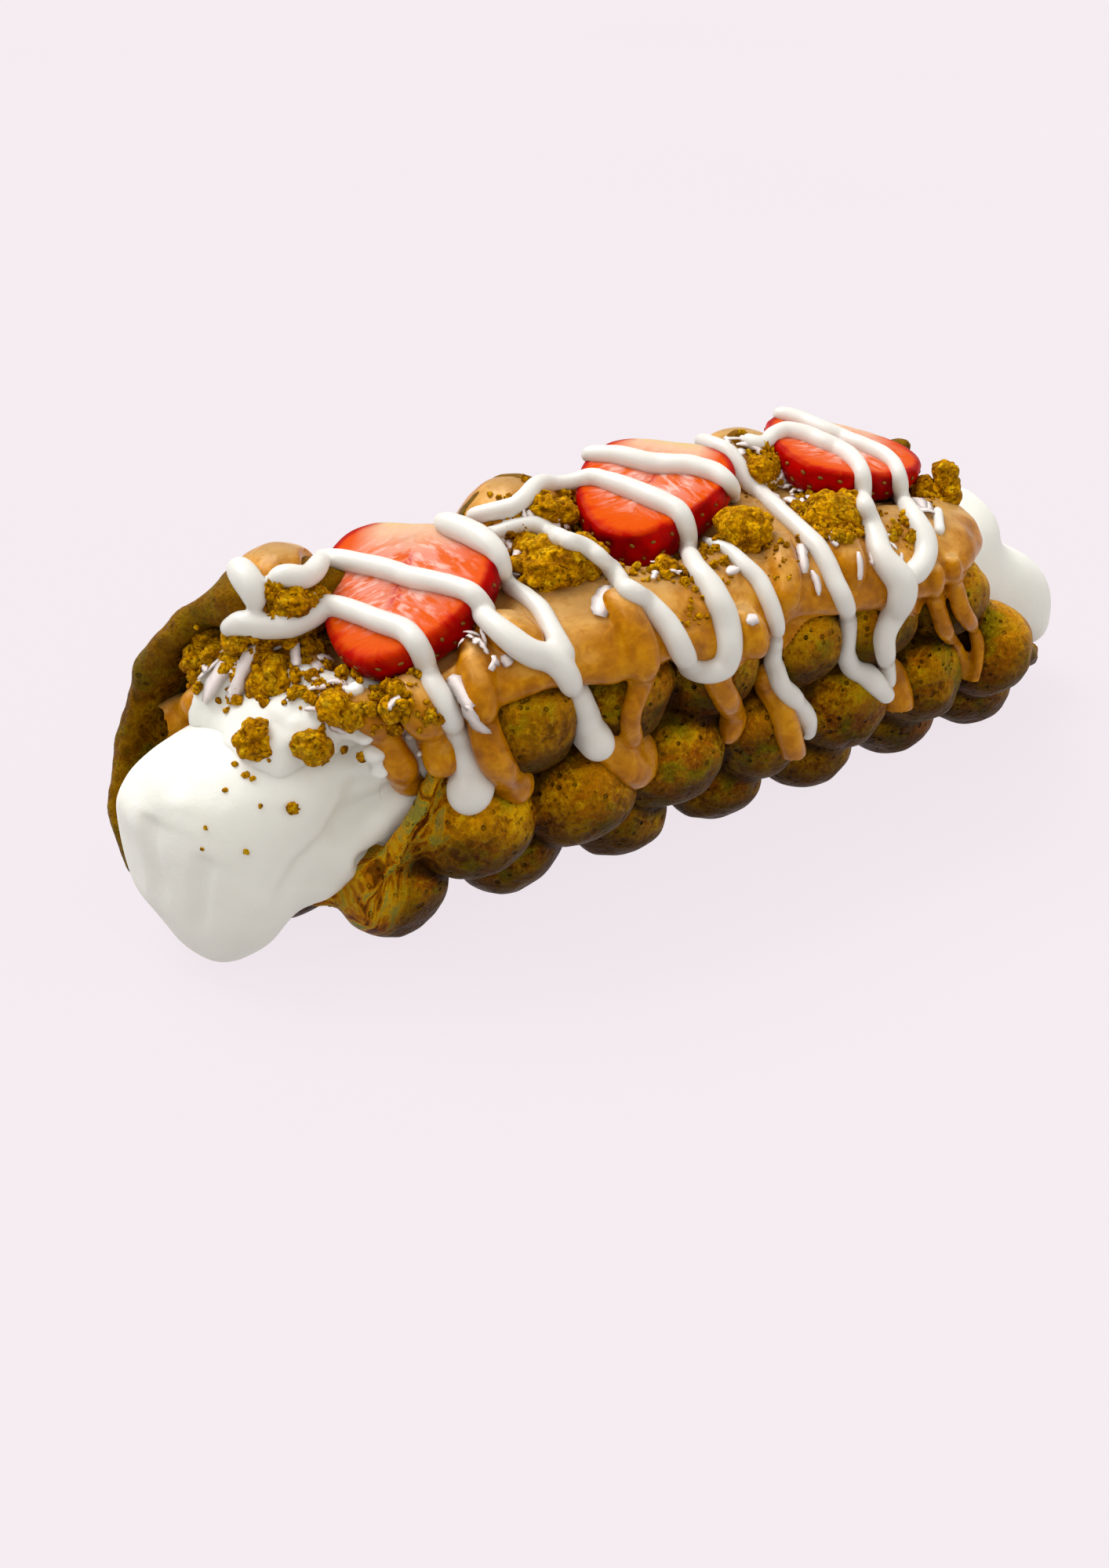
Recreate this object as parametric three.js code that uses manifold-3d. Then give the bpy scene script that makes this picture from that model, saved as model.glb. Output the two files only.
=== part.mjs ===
// Bubble waffle rolled into an open tube, filled with whipped cream and topped with biscuit
// spread, strawberry slices, biscuit pieces and thick white drizzle.
// Millimetres, +Z up, +X along the roll from the large open mouth (-X) to the far end (+X);
// the side with the low lip faces -Y. The roll rests on its flattened bubbles at z = 0.
// Round the roll, b is the arc position on the sheet (0 at the bottom, + toward -Y) and
// turn is the angle seen from the roll's axis (0 straight up, + toward -Y, degrees).
import * as THREE from "three";
import { mergeVertices } from "three/addons/utils/BufferGeometryUtils.js";
import Module from "manifold-3d";

const wasm = await Module();
wasm.setup();

// Section of the rolled sheet through the bubble centres: an oval with a flattened bottom.
const HALF_WIDTH = 23.9;
const HALF_HEIGHT = 30;
const AXIS_Z = 35.6;
const BOTTOM_Z = 10.4;
// Sheet between the bubbles, measured from the section line.
const WEB_OUT = 1.5;
const WEB_IN = 2.5;
const WEB_NEAR_B = 62;
const WEB_FAR_B = -80;
const WEB_CELLS_X = 3;
const WEB_CELLS_B = 15;
const BUBBLE_R = 11;
const BUBBLE_FOOT = 1.02;
const BUBBLE_ROOT = 0.8;
// Clearance between touching pieces.
const GAP = 0.3;
// Bubble rows: arc position, first bubble, pitch and count along X, facets round and up.
const ROWS = [
  { b: 12.6, start: -86, pitch: 24.6, count: 7, round: 12, up: 4 },
  { b: 29.2, start: -73, pitch: 21.7, count: 7, round: 12, up: 4 },
  { b: 48.5, start: -63, pitch: 20.4, count: 6, round: 12, up: 4 },
  { b: -6, start: -98.3, pitch: 24.6, count: 8, round: 8, up: 3 },
  { b: -24, start: -109, pitch: 24, count: 8, round: 8, up: 3 },
  { b: -42, start: -97, pitch: 24, count: 7, round: 8, up: 3 },
  { b: -59.5, start: -85, pitch: 24, count: 6, round: 8, up: 3 },
  { b: -76.7, start: -94.7, pitch: 48.9, count: 2, round: 12, up: 4 },
  { b: -76.7, start: 9.1, pitch: 24, count: 1, round: 12, up: 4 },
];
// Where the sheet ends along X at arc position b: [b, mouth end, far end].
const RIMS = [
  [-80, -104, 54],
  [-72, -109, 57],
  [-64, -113.5, 61],
  [-52, -118, 69],
  [-40, -123, 77],
  [-28, -126, 83],
  [-16, -126.5, 87],
  [-8, -121, 89],
  [0, -112, 90],
  [12, -97, 87],
  [20, -94, 79],
  [30, -88, 68],
  [40, -82.5, 56],
  [48, -79, 51],
  [62, -66, 49],
];

// Whipped cream inside the tube, and the lobes at its ends ring by ring:
// [x, low y, high y, low z, high z].
const CREAM_TOP = 58;
const CREAM_CLEAR = 1.1;
const CREAM_SIDES = 18;
const CORE = { from: -90, to: 54, rings: 4 };
const NEAR_LOBE = [
  [-82, -17.5, 18, 14, 50],
  [-92, -17.5, 20, 14, 47],
  [-98, -19, 20.5, 12.5, 46],
  [-104, -19.5, 20.5, 8.5, 45],
  [-109, -19, 19.5, 1.8, 44],
  [-114, -17.5, 18, 0.1, 43],
  [-119, -14.5, 16, 0.7, 41.5],
  [-123.5, -9.5, 13.8, 6.5, 38],
  [-126.5, -2.5, 11, 15, 32.5],
];
const FAR_LOBE = [
  [44, -17, 18, 13, 56],
  [58, -17, 18, 13, 52],
  [69, -16, 18, 13, 45],
  [79, -15, 17, 12.5, 38],
  [88, -13, 15, 9, 33],
  [94.5, -8, 11, 10, 26],
];
const FAR_PUFF = { x: 63, y: 1, z: 43, rx: 13, ry: 15, rz: 11 };

// Biscuit spread over the open top, station by station:
// [x, lower edge y, lower edge z, shoulder y, shoulder z, z at the far wall].
const SPREAD = [
  [-109, -5, 42, -3, 45, 45.5],
  [-99, -13, 43.5, -11, 48.5, 50.5],
  [-88, -21, 47, -18, 54.5, 57],
  [-76, -29, 48.5, -24, 57.5, 61.5],
  [-63, -33.4, 53, -27, 61, 65],
  [-48, -35, 50, -28, 63, 66.5],
  [-36, -34.6, 52.5, -27.5, 63.5, 66.5],
  [-23, -35.4, 46, -27, 64, 66.5],
  [-8, -34, 52, -26.5, 63.5, 66.5],
  [8, -34.8, 50.5, -27, 63, 66.5],
  [26, -35, 49, -26.5, 63, 66],
  [38, -34, 52, -26, 62, 65],
  [47, -29, 53, -22, 60, 62.5],
];
const SPREAD_FAR_Y = 9;
const SPREAD_THICK = 4.5;

// Strawberry slices: centre of the cut face, width, length, thickness, heading of the tip
// (degrees from +X), lean of the cut face toward -Y and toward -X (degrees), and how its
// outline swells twice and three times round (cosine and sine shares).
const BERRY_SIDES = 16;
const BERRIES = [
  {
    x: -77.4, y: -6.9, z: 67, w: 31.3, l: 34.7, t: 10.5, tip: 246, leanY: 11.6, leanX: 26,
    swell: [-0.01, 0.01, -0.055, -0.105],
  },
  {
    x: -20.4, y: -2.4, z: 73.3, w: 30.5, l: 34.9, t: 12, tip: 221, leanY: 11, leanX: 6.4,
    swell: [0.056, -0.049, 0.027, 0.01],
  },
  {
    x: 27.9, y: -2.7, z: 71.5, w: 32, l: 35, t: 9, tip: 231, leanY: 7.9, leanX: -8.7,
    swell: [-0.066, -0.019, -0.004, -0.065],
  },
];

// Biscuit pieces: place on the roll, size and how far the middle lies above the surface.
const CHUNKS = [
  { x: -47.8, turn: 25.5, rx: 9, ry: 6, rz: 4.5, rise: 0.9, spin: 20 },
  { x: -10.6, turn: 33.5, rx: 5.6, ry: 5, rz: 4.6, rise: 1.7, spin: 70 },
  { x: -99, turn: 8, rx: 4.5, ry: 6, rz: 5, rise: 1.5, spin: 120 },
  { x: 11, turn: 35.5, rx: 6, ry: 4.2, rz: 3.5, rise: 1, spin: 10 },
];
const CRUMBS = [
  { x: -105, turn: 3, r: 3.2 },
  { x: -101, turn: 32, r: 3 },
  { x: -97, turn: -30, r: 3.4 },
  { x: -60, turn: 12, r: 3 },
  { x: 0, turn: 12, r: 2.6 },
  { x: 38, turn: 34, r: 3.6 },
];

// White drizzle strands and drips of biscuit spread as [x, turn] along their run.
const STRAND_SIDES = 5;
const STRAND_STEP = 12;
const DRIZZLE_R = 1.9;
const DROP_R = 3.2;
const DRIZZLE = [
  [[-97, -46], [-92, -20], [-92, 12], [-84, 32], [-81, 40], [-83, 58], [-81, 88]],
  [[-87, -36], [-87, 2], [-79, 14], [-68, 34], [-66, 51], [-59, 65], [-55, 83]],
  [[-59, -22], [-56, 1], [-61, 40], [-58, 60]],
  [[-52, -18], [-41, -20], [-30, -20], [-25, -5], [-17, 17], [-26, 46], [-22, 68]],
  [[-22, 66], [-26, 74], [-32, 70], [-41, 45], [-43, 14], [-44, -2]],
  [[-20, -18], [-11, -9], [-1, 6], [-3, 20], [0, 36], [5, 77], [9, 95], [15, 102]],
  [[-17, 38], [-12, 62], [-13, 80], [-3, 107]],
  [[17, -24], [26, -9], [28, 4], [23, 28], [15, 54], [17, 70], [13, 82], [15, 100]],
  [[30, -17], [36, 8], [31, 34], [27, 50], [18, 64]],
];
const DRIP_R = 2.2;
const DRIPS = [
  [[-42, 58], [-45, 76], [-45, 95]],
  [[-54, 58], [-53, 84], [-48, 99]],
  [[-29, 66], [-26, 95]],
  [[-11, 60], [-4, 112]],
  [[29, 60], [33, 91], [43, 112]],
  [[37, 58], [42, 110]],
];

const MATERIALS = {
  waffle: new THREE.MeshStandardMaterial({ color: 0x9a6420, roughness: 0.75, metalness: 0 }),
  cream: new THREE.MeshStandardMaterial({ color: 0xf3f1e8, roughness: 0.55, metalness: 0 }),
  spread: new THREE.MeshStandardMaterial({ color: 0xb87a35, roughness: 0.35, metalness: 0 }),
  berry: new THREE.MeshStandardMaterial({ color: 0xd2331f, roughness: 0.35, metalness: 0 }),
  biscuit: new THREE.MeshStandardMaterial({ color: 0xa06a20, roughness: 0.9, metalness: 0 }),
};

// --- helpers ---

function lerp(a, b, t) {
  return a + (b - a) * t;
}

function rad(degrees) {
  return (degrees * Math.PI) / 180;
}

// Column c of a table whose rows are sorted on column 0, read between the rows.
function table(rows, c, at) {
  let i = 1;
  while (i < rows.length - 1 && rows[i][0] < at) i++;
  const t = (at - rows[i - 1][0]) / (rows[i][0] - rows[i - 1][0]);
  return lerp(rows[i - 1][c], rows[i][c], Math.min(1, Math.max(0, t)));
}

// A closed three.js geometry with every vertex moved by shape(), as a solid.
function solid(geometry, shape = (p) => p) {
  const bare = new THREE.BufferGeometry();
  bare.setAttribute("position", geometry.getAttribute("position").clone());
  if (geometry.index) bare.setIndex(geometry.index);
  const position = bare.getAttribute("position");
  const p = new THREE.Vector3();
  for (let i = 0; i < position.count; i++) {
    p.fromBufferAttribute(position, i);
    const q = shape(p);
    position.setXYZ(i, q.x, q.y, q.z);
  }
  const merged = mergeVertices(bare, 1e-3);
  const faces = [];
  for (let i = 0; i < merged.index.count; i += 3) {
    const [a, b, c] = [0, 1, 2].map((k) => merged.index.getX(i + k));
    if (a !== b && b !== c && c !== a) faces.push([a, b, c]);
  }
  const vertProperties = merged.getAttribute("position").array;
  const build = (list) =>
    new wasm.Manifold(
      new wasm.Mesh({ numProp: 3, vertProperties, triVerts: new Uint32Array(list.flat()) }),
    );
  const made = build(faces);
  return made.volume() < 0 ? build(faces.map(([a, b, c]) => [a, c, b])) : made;
}

function join(list) {
  return list.reduce((all, one) => all.add(one));
}

function largest(body) {
  return body.decompose().reduce((a, b) => (b.volume() > a.volume() ? b : a));
}

function meshOf(name, body, material) {
  const { vertProperties, triVerts } = body.getMesh();
  const geometry = new THREE.BufferGeometry();
  geometry.setAttribute("position", new THREE.Float32BufferAttribute(vertProperties, 3));
  geometry.setIndex(new THREE.Uint32BufferAttribute(triVerts, 1));
  geometry.computeVertexNormals();
  const mesh = new THREE.Mesh(geometry, material);
  mesh.name = name;
  return mesh;
}

// --- section of the sheet ---

// Points of half the section, from the bottom centre up to the top, with their arc length.
const SECTION = [{ s: 0, y: 0, z: BOTTOM_Z }];
const SECTION_CUT = Math.acos((AXIS_Z - BOTTOM_Z) / HALF_HEIGHT);
for (let i = 0; i <= 300; i++) {
  const t = lerp(SECTION_CUT, Math.PI, i / 300);
  const y = HALF_WIDTH * Math.sin(t);
  const z = AXIS_Z - HALF_HEIGHT * Math.cos(t);
  const last = SECTION[SECTION.length - 1];
  SECTION.push({ s: last.s + Math.hypot(y - last.y, z - last.z), y, z });
}

function onLine(b) {
  const s = Math.abs(b);
  let i = 1;
  while (i < SECTION.length - 1 && SECTION[i].s < s) i++;
  const from = SECTION[i - 1];
  const to = SECTION[i];
  const t = (s - from.s) / (to.s - from.s);
  return { y: -Math.sign(b) * lerp(from.y, to.y, t), z: lerp(from.z, to.z, t) };
}

// Point at arc position b, off millimetres outside the section line.
function onSheet(x, b, off) {
  const p = onLine(b);
  const before = onLine(b - 4);
  const after = onLine(b + 4);
  const out = new THREE.Vector3(0, before.z - after.z, after.y - before.y).normalize();
  return out.multiplyScalar(off).add(new THREE.Vector3(x, p.y, p.z));
}

// Point at a turn round the roll's axis, reach millimetres from it.
function onTurn(x, turn, reach) {
  return new THREE.Vector3(x, -Math.sin(rad(turn)) * reach, AXIS_Z + Math.cos(rad(turn)) * reach);
}

// A closed skin over `count` rings: at(k, angle) gives a point of ring k.
function skin(count, sides, at) {
  const geometry = new THREE.CylinderGeometry(1, 1, 1, sides, count - 1);
  return solid(geometry, (p) => {
    const k = Math.round((p.y + 0.5) * (count - 1));
    if (Math.hypot(p.x, p.z) > 0.5) return at(k, Math.atan2(p.x, p.z));
    const middle = new THREE.Vector3();
    for (let i = 0; i < sides; i++) {
      middle.addScaledVector(at(k, (i / sides) * 2 * Math.PI), 1 / sides);
    }
    return middle;
  });
}

// --- waffle ---

function web(grow) {
  const cells = new THREE.BoxGeometry(1, 1, 1, WEB_CELLS_X, WEB_CELLS_B, 1);
  return solid(cells, (p) => {
    const end = Math.abs(p.y) > 0.499 ? Math.sign(p.y) * grow : 0;
    const b = lerp(WEB_FAR_B, WEB_NEAR_B, p.y + 0.5) + end;
    const x = lerp(table(RIMS, 1, b) - grow, table(RIMS, 2, b) + grow, p.x + 0.5);
    return onSheet(x, b, p.z > 0 ? WEB_OUT + grow : -WEB_IN - grow);
  });
}

// A domed bubble whose foot follows the curled sheet.
function bubble(x, b, radius, round, up) {
  const profile = [];
  for (let k = 0; k < up; k++) {
    const lat = (k / up) * (Math.PI / 2);
    profile.push(new THREE.Vector2(radius * Math.sin(lat), radius * Math.cos(lat)));
  }
  profile.push(new THREE.Vector2(radius * BUBBLE_FOOT, -1), new THREE.Vector2(0, -1));
  const centre = onSheet(x, b, 0);
  const out = onSheet(x, b, 1).sub(centre);
  const along = new THREE.Vector3(1, 0, 0);
  const across = new THREE.Vector3().crossVectors(out, along);
  return solid(new THREE.LatheGeometry(profile, round), (p) => {
    if (p.y < -0.5) {
      const foot = Math.min(WEB_NEAR_B, Math.max(WEB_FAR_B, b + p.z));
      return onSheet(x + p.x, foot, -BUBBLE_ROOT);
    }
    return centre
      .clone()
      .addScaledVector(out, p.y)
      .addScaledVector(along, p.x)
      .addScaledVector(across, p.z);
  });
}

function waffle(grow) {
  const parts = [web(grow)];
  for (const row of ROWS) {
    for (let i = 0; i < row.count; i++) {
      const x = row.start + i * row.pitch;
      parts.push(bubble(x, row.b, BUBBLE_R + grow, row.round, row.up));
    }
  }
  return join(parts);
}

// --- cream ---

function coreReach(turn, grow) {
  const clear = WEB_IN + CREAM_CLEAR - grow;
  for (let reach = 8; reach < 40; reach += 0.25) {
    const p = onTurn(0, turn, reach);
    const side = p.y < 0 ? 1 : -1;
    for (const q of SECTION) {
      if (Math.hypot(p.y + side * q.y, p.z - q.z) < clear) return reach;
    }
  }
  return 40;
}

function creamTop(x) {
  return Math.min(CREAM_TOP, table(SPREAD, 4, x) - SPREAD_THICK);
}

function ellipseRing(x, [yLow, yHigh, zLow, zHigh], angle, grow) {
  const c = Math.cos(angle);
  const s = Math.sin(angle);
  const round = (v) => Math.sign(v) * Math.abs(v) ** 0.78;
  const y = (yLow + yHigh) / 2 + ((yHigh - yLow) / 2 + grow) * round(s);
  const z = (zLow + zHigh) / 2 + ((zHigh - zLow) / 2 + grow) * round(c);
  return new THREE.Vector3(x, y, z);
}

function lobe(rows, grow) {
  return skin(rows.length, CREAM_SIDES, (k, angle) => {
    const end = k === 0 ? -1 : k === rows.length - 1 ? 1 : 0;
    const x = rows[k][0] + Math.sign(rows[1][0] - rows[0][0]) * end * grow;
    return ellipseRing(x, rows[k].slice(1), angle, grow);
  });
}

function cream(grow) {
  const core = skin(CORE.rings, CREAM_SIDES, (k, angle) => {
    const turn = (angle * 180) / Math.PI;
    const x = lerp(CORE.from - grow, CORE.to + grow, k / (CORE.rings - 1));
    const p = onTurn(x, turn, coreReach(turn, grow));
    p.z = Math.min(p.z, creamTop(x) + grow);
    return p;
  });
  const puff = solid(new THREE.SphereGeometry(1, 12, 7), (p) => {
    const { x, y, z, rx, ry, rz } = FAR_PUFF;
    return new THREE.Vector3(
      x + p.x * (rx + grow),
      y + p.y * (ry + grow),
      z + p.z * (rz + grow),
    );
  });
  return join([core, lobe(NEAR_LOBE, grow), lobe(FAR_LOBE, grow), puff]);
}

// --- strawberries ---

function berryFrame(berry) {
  const frame = new THREE.Matrix4().makeTranslation(berry.x, berry.y, berry.z);
  frame.multiply(new THREE.Matrix4().makeRotationX(rad(berry.leanY)));
  frame.multiply(new THREE.Matrix4().makeRotationY(rad(-berry.leanX)));
  return frame.multiply(new THREE.Matrix4().makeRotationZ(rad(berry.tip)));
}

// Heart outline with its tip toward +X of its own frame.
function heart(berry, angle, grow) {
  const c = Math.cos(angle);
  const s = Math.sin(angle);
  const tip = Math.max(0, c) ** 3;
  const dent = Math.exp(-(((Math.PI - Math.abs(angle)) / 0.45) ** 2));
  const [c2, s2, c3, s3] = berry.swell;
  const twice = c2 * Math.cos(2 * angle) + s2 * Math.sin(2 * angle);
  const swell = 1 + twice + c3 * Math.cos(3 * angle) + s3 * Math.sin(3 * angle);
  const along = (berry.l / 2) * (c * (1 + 0.06 * tip) + 0.1 * dent);
  const wide = (berry.w / 2) * Math.sign(s) * Math.abs(s) ** 0.9 * (1 - 0.16 * c);
  return { along: along * swell + grow * c, wide: wide * swell + grow * s };
}

// The slice between heights [height, scale of the outline] under its cut face.
function berrySkin(berry, levels, grow) {
  const frame = berryFrame(berry);
  return skin(levels.length, BERRY_SIDES, (k, angle) => {
    const { along, wide } = heart(berry, angle, grow);
    const [height, scale] = levels[k];
    return new THREE.Vector3(along * scale, wide * scale, height).applyMatrix4(frame);
  });
}

function berrySlice(berry, grow) {
  return berrySkin(
    berry,
    [
      [grow, 0.96],
      [-0.12 * berry.t, 1],
      [-0.5 * berry.t, 0.97],
      [-0.85 * berry.t, 0.8],
      [-berry.t - grow, 0.5],
    ],
    grow,
  );
}

function overBerry(berry, grow) {
  return berrySkin(berry, [[8, 1], [-2, 1]], grow);
}

// --- spread ---

function spreadSheet() {
  return skin(SPREAD.length, 14, (k, angle) => {
    const [x, edgeY, edgeZ, shoulderY, lipZ, wallZ] = SPREAD[k];
    const i = Math.round((angle / (2 * Math.PI)) * 14 + 14) % 14;
    const under = creamTop(x) + 0.2;
    const ring = [
      [edgeY + 2.5, edgeZ - 1],
      [edgeY - 0.2, edgeZ + 0.6],
      [edgeY - 0.6, lerp(edgeZ, lipZ, 0.3)],
      [lerp(edgeY, shoulderY, 0.45), lerp(edgeZ, lipZ, 0.78)],
      [shoulderY, lipZ],
      [lerp(shoulderY, 0, 0.45), lerp(lipZ, wallZ, 0.5) + 0.8],
      [0, wallZ + 0.2],
      [SPREAD_FAR_Y, wallZ],
      [SPREAD_FAR_Y, under],
      [0, under],
      [lerp(shoulderY, 0, 0.5), under],
      [lerp(edgeY, shoulderY, 0.8) + 5, Math.min(under, lerp(edgeZ, lipZ, 0.5))],
      [edgeY + 9, lerp(edgeZ, under, 0.3)],
      [edgeY + 7, edgeZ - 1],
    ];
    return new THREE.Vector3(x, ring[i][0], ring[i][1]);
  });
}

const caster = new THREE.Raycaster();

// Reach from the axis to the outermost target; the waffle counts with the strand's clearance.
function reachOf(targets, x, turn, clear = 0) {
  const from = onTurn(x, turn, 90);
  caster.set(from, onTurn(x, turn, 0).sub(from).normalize());
  const hit = caster.intersectObjects(targets)[0];
  if (!hit) return 30;
  return 90 - hit.distance + (hit.object.name === "waffle" ? clear : 0);
}

// A round strand laid over the targets along [x, turn] points, thicker at its last point.
function strand(points, radius, drop, targets) {
  const places = [];
  for (let i = 0; i + 1 < points.length; i++) {
    const [x0, t0] = points[i];
    const [x1, t1] = points[i + 1];
    const length = Math.hypot(x1 - x0, rad(t1 - t0) * 35);
    const steps = Math.max(1, Math.round(length / STRAND_STEP));
    for (let k = 0; k < steps; k++) places.push([lerp(x0, x1, k / steps), lerp(t0, t1, k / steps)]);
  }
  places.push(points[points.length - 1]);
  const run = places.map(([x, turn]) => {
    const near = [-0.4, 0, 0.4].flatMap((part) => [
      reachOf(targets, x, turn + (part * STRAND_STEP) / rad(35), radius * 0.6),
      reachOf(targets, x + part * STRAND_STEP, turn, radius * 0.6),
    ]);
    return onTurn(x, turn, (2 * Math.max(...near) + near[2]) / 3 + radius * 0.5);
  });
  const section = new THREE.Shape();
  for (let i = 0; i < STRAND_SIDES; i++) {
    const a = (i / STRAND_SIDES) * 2 * Math.PI;
    section[i ? "lineTo" : "moveTo"](radius * Math.cos(a), radius * Math.sin(a));
  }
  const tube = new THREE.ExtrudeGeometry(section, {
    extrudePath: new THREE.CatmullRomCurve3(run),
    steps: run.length - 1,
    bevelEnabled: false,
  });
  const end = run[run.length - 1];
  const bead = new THREE.IcosahedronGeometry(drop, 0).translate(end.x, end.y, end.z);
  return solid(tube).add(solid(bead));
}

// --- biscuit pieces ---

function lump(piece, seed, grow, centre) {
  const turnZ = new THREE.Matrix4().makeRotationZ(rad(piece.spin));
  return solid(new THREE.IcosahedronGeometry(1, 1), (p) => {
    const wave = Math.sin(p.x * 5.1 + seed) + Math.sin(p.y * 6.3 + seed * 2) + Math.sin(p.z * 5.7);
    const size = 1 + 0.09 * wave;
    const q = new THREE.Vector3(p.x * piece.rx, p.y * piece.ry, p.z * piece.rz);
    return q.multiplyScalar(size + grow / piece.rz).applyMatrix4(turnZ).add(centre);
  });
}

function grain(crumb, targets) {
  const centre = onTurn(crumb.x, crumb.turn, reachOf(targets, crumb.x, crumb.turn) + 0.2);
  return solid(new THREE.IcosahedronGeometry(crumb.r, 0), (p) =>
    p.multiply(new THREE.Vector3(1.2, 1, 0.8)).add(centre),
  );
}

// --- assembly ---

const waffleRoom = waffle(GAP);
const floorSlab = solid(new THREE.BoxGeometry(400, 200, 40).translate(0, 0, -20));
const waffleBody = waffle(0).subtract(floorSlab);
const berryBodies = BERRIES.map((berry) => largest(berrySlice(berry, 0).subtract(waffleRoom)));
const berryRooms = BERRIES.map((berry) => berrySlice(berry, GAP));
const creamRest = join([waffleRoom, floorSlab, ...berryRooms]);
const creamBody = largest(cream(0).subtract(creamRest));

const sheet = spreadSheet();
const targetsOf = (name, bodies) => bodies.map((body) => meshOf(name, body, MATERIALS.spread));
const ground = [...targetsOf("waffle", [waffleBody]), ...targetsOf("soft", [creamBody, sheet])];
const chunkCentres = CHUNKS.map(({ x, turn, rise }) => onTurn(x, turn, reachOf(ground, x, turn) + rise));
const chunkBodies = CHUNKS.map((piece, i) => lump(piece, i + 1, 0, chunkCentres[i]));
const chunkRooms = CHUNKS.map((piece, i) => lump(piece, i + 1, GAP, chunkCentres[i]));

const surface = [...ground, ...targetsOf("soft", berryBodies)];
const drizzle = DRIZZLE.map((points) => strand(points, DRIZZLE_R, DROP_R, surface));
const drips = DRIPS.map((points) => strand(points, DRIP_R, DRIP_R * 1.25, ground));
const grains = CRUMBS.map((crumb) => grain(crumb, ground));

let spreadBody = join([sheet, ...drips, ...grains, ...drizzle]);
for (const room of [waffleRoom, cream(GAP), ...berryRooms, ...chunkRooms]) {
  spreadBody = spreadBody.subtract(room);
}
for (const berry of BERRIES) spreadBody = spreadBody.subtract(overBerry(berry, GAP));
spreadBody = largest(spreadBody);

const dressedBerries = berryBodies.map((body, i) => {
  const over = overBerry(BERRIES[i], 0);
  const own = drizzle.map((one) => one.intersect(over));
  return largest(join([body, ...own]).subtract(join([waffleRoom, ...chunkRooms])));
});

const group = new THREE.Group();
group.add(
  meshOf("waffle", waffleBody, MATERIALS.waffle),
  meshOf("cream", creamBody, MATERIALS.cream),
  meshOf("biscuit_spread", spreadBody, MATERIALS.spread),
);
dressedBerries.forEach((body, i) => group.add(meshOf(`strawberry_${i + 1}`, body, MATERIALS.berry)));
chunkBodies.forEach((body, i) => group.add(meshOf(`biscuit_chunk_${i + 1}`, body, MATERIALS.biscuit)));

// The origin lies under the middle of the whole, on the surface it rests on.
const box = new THREE.Box3().setFromObject(group);
group.position.set(-(box.min.x + box.max.x) / 2, -(box.min.y + box.max.y) / 2, -box.min.z);

export default group;
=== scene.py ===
"""Looks of the filled bubble waffle roll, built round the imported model.

Shapes are worked out in the roll's own frame in millimetres: X along the roll from the
large open mouth (-X) to the far end, +Z up, the low lip toward -Y. Round the roll, b is
the arc position on the sheet (0 at the bottom, + toward -Y) and turn is the angle seen
from the roll's axis (0 straight up, + toward -Y, degrees). ORIGIN moves them to the row
frame.
"""

import math

import bpy
import numpy as np
from mathutils import Matrix, Vector
from mathutils.bvhtree import BVHTree


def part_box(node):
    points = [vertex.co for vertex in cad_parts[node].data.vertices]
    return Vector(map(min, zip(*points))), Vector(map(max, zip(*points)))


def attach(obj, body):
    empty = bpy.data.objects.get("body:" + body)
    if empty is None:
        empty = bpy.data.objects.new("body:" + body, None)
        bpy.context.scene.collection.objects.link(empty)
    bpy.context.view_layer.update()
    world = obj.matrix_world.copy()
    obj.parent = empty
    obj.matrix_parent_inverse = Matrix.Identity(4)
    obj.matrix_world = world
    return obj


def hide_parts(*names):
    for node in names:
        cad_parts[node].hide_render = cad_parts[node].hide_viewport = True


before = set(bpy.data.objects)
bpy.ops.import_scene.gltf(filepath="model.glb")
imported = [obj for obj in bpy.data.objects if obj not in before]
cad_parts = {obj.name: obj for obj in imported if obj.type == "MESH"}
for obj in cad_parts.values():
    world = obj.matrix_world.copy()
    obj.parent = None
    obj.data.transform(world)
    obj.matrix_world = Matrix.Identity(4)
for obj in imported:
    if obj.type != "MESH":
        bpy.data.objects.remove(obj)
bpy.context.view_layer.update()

ORIGIN = np.array([16.0, 2.4559, 0.0])

# --- the rolled sheet ---

HALF_WIDTH = 23.9
HALF_HEIGHT = 30.0
AXIS_Z = 35.6
BOTTOM_Z = 10.4
WEB_B = (-80.0, 62.0)
WEB_THICK = 4.0
WEB_MIDDLE = -0.5
BUBBLE_R = 11.0
SIDE_ROW = 48.5  # the row that the spread hangs over
LIP_ROW = -76.7  # the three bubbles that show behind the slices
# Bubble rows: arc position, first bubble, pitch and count along X.
ROWS = [
    (12.6, -86, 24.6, 7), (29.2, -73, 21.7, 7), (SIDE_ROW, -63, 20.4, 6), (-6, -98.3, 24.6, 8),
    (-24, -109, 24, 8), (-42, -97, 24, 7), (-59.5, -85, 24, 6), (LIP_ROW, -94.7, 48.9, 2),
    (LIP_ROW, 9.1, 24, 1),
]
# Bubbles with a middle and radii of their own, by the first of their row and number.
FLATTER = {(-94.7, 0): ((-94.5, 6.5, 62.6), (11, 9, 9.6))}
# Where the sheet ends along X at arc position b: b, mouth end, far end.
RIMS = np.array([
    [-80, -104, 54], [-72, -109, 57], [-64, -113.5, 61], [-52, -118, 69], [-40, -123, 77],
    [-28, -126, 83], [-16, -126.5, 87], [-8, -121, 89], [0, -112, 90], [12, -97, 87],
    [20, -94, 79], [30, -88, 68], [40, -82.5, 56], [48, -79, 51], [62, -66, 49],
])

# --- cream ---

CREAM_TOP = 58.0
CREAM_GAP = 3.6  # from the sheet's middle line to the cream
CREAM_LOW = 0.05
CORE_X = (-90.0, 54.0)  # the ends of the part inside the sheet
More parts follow.
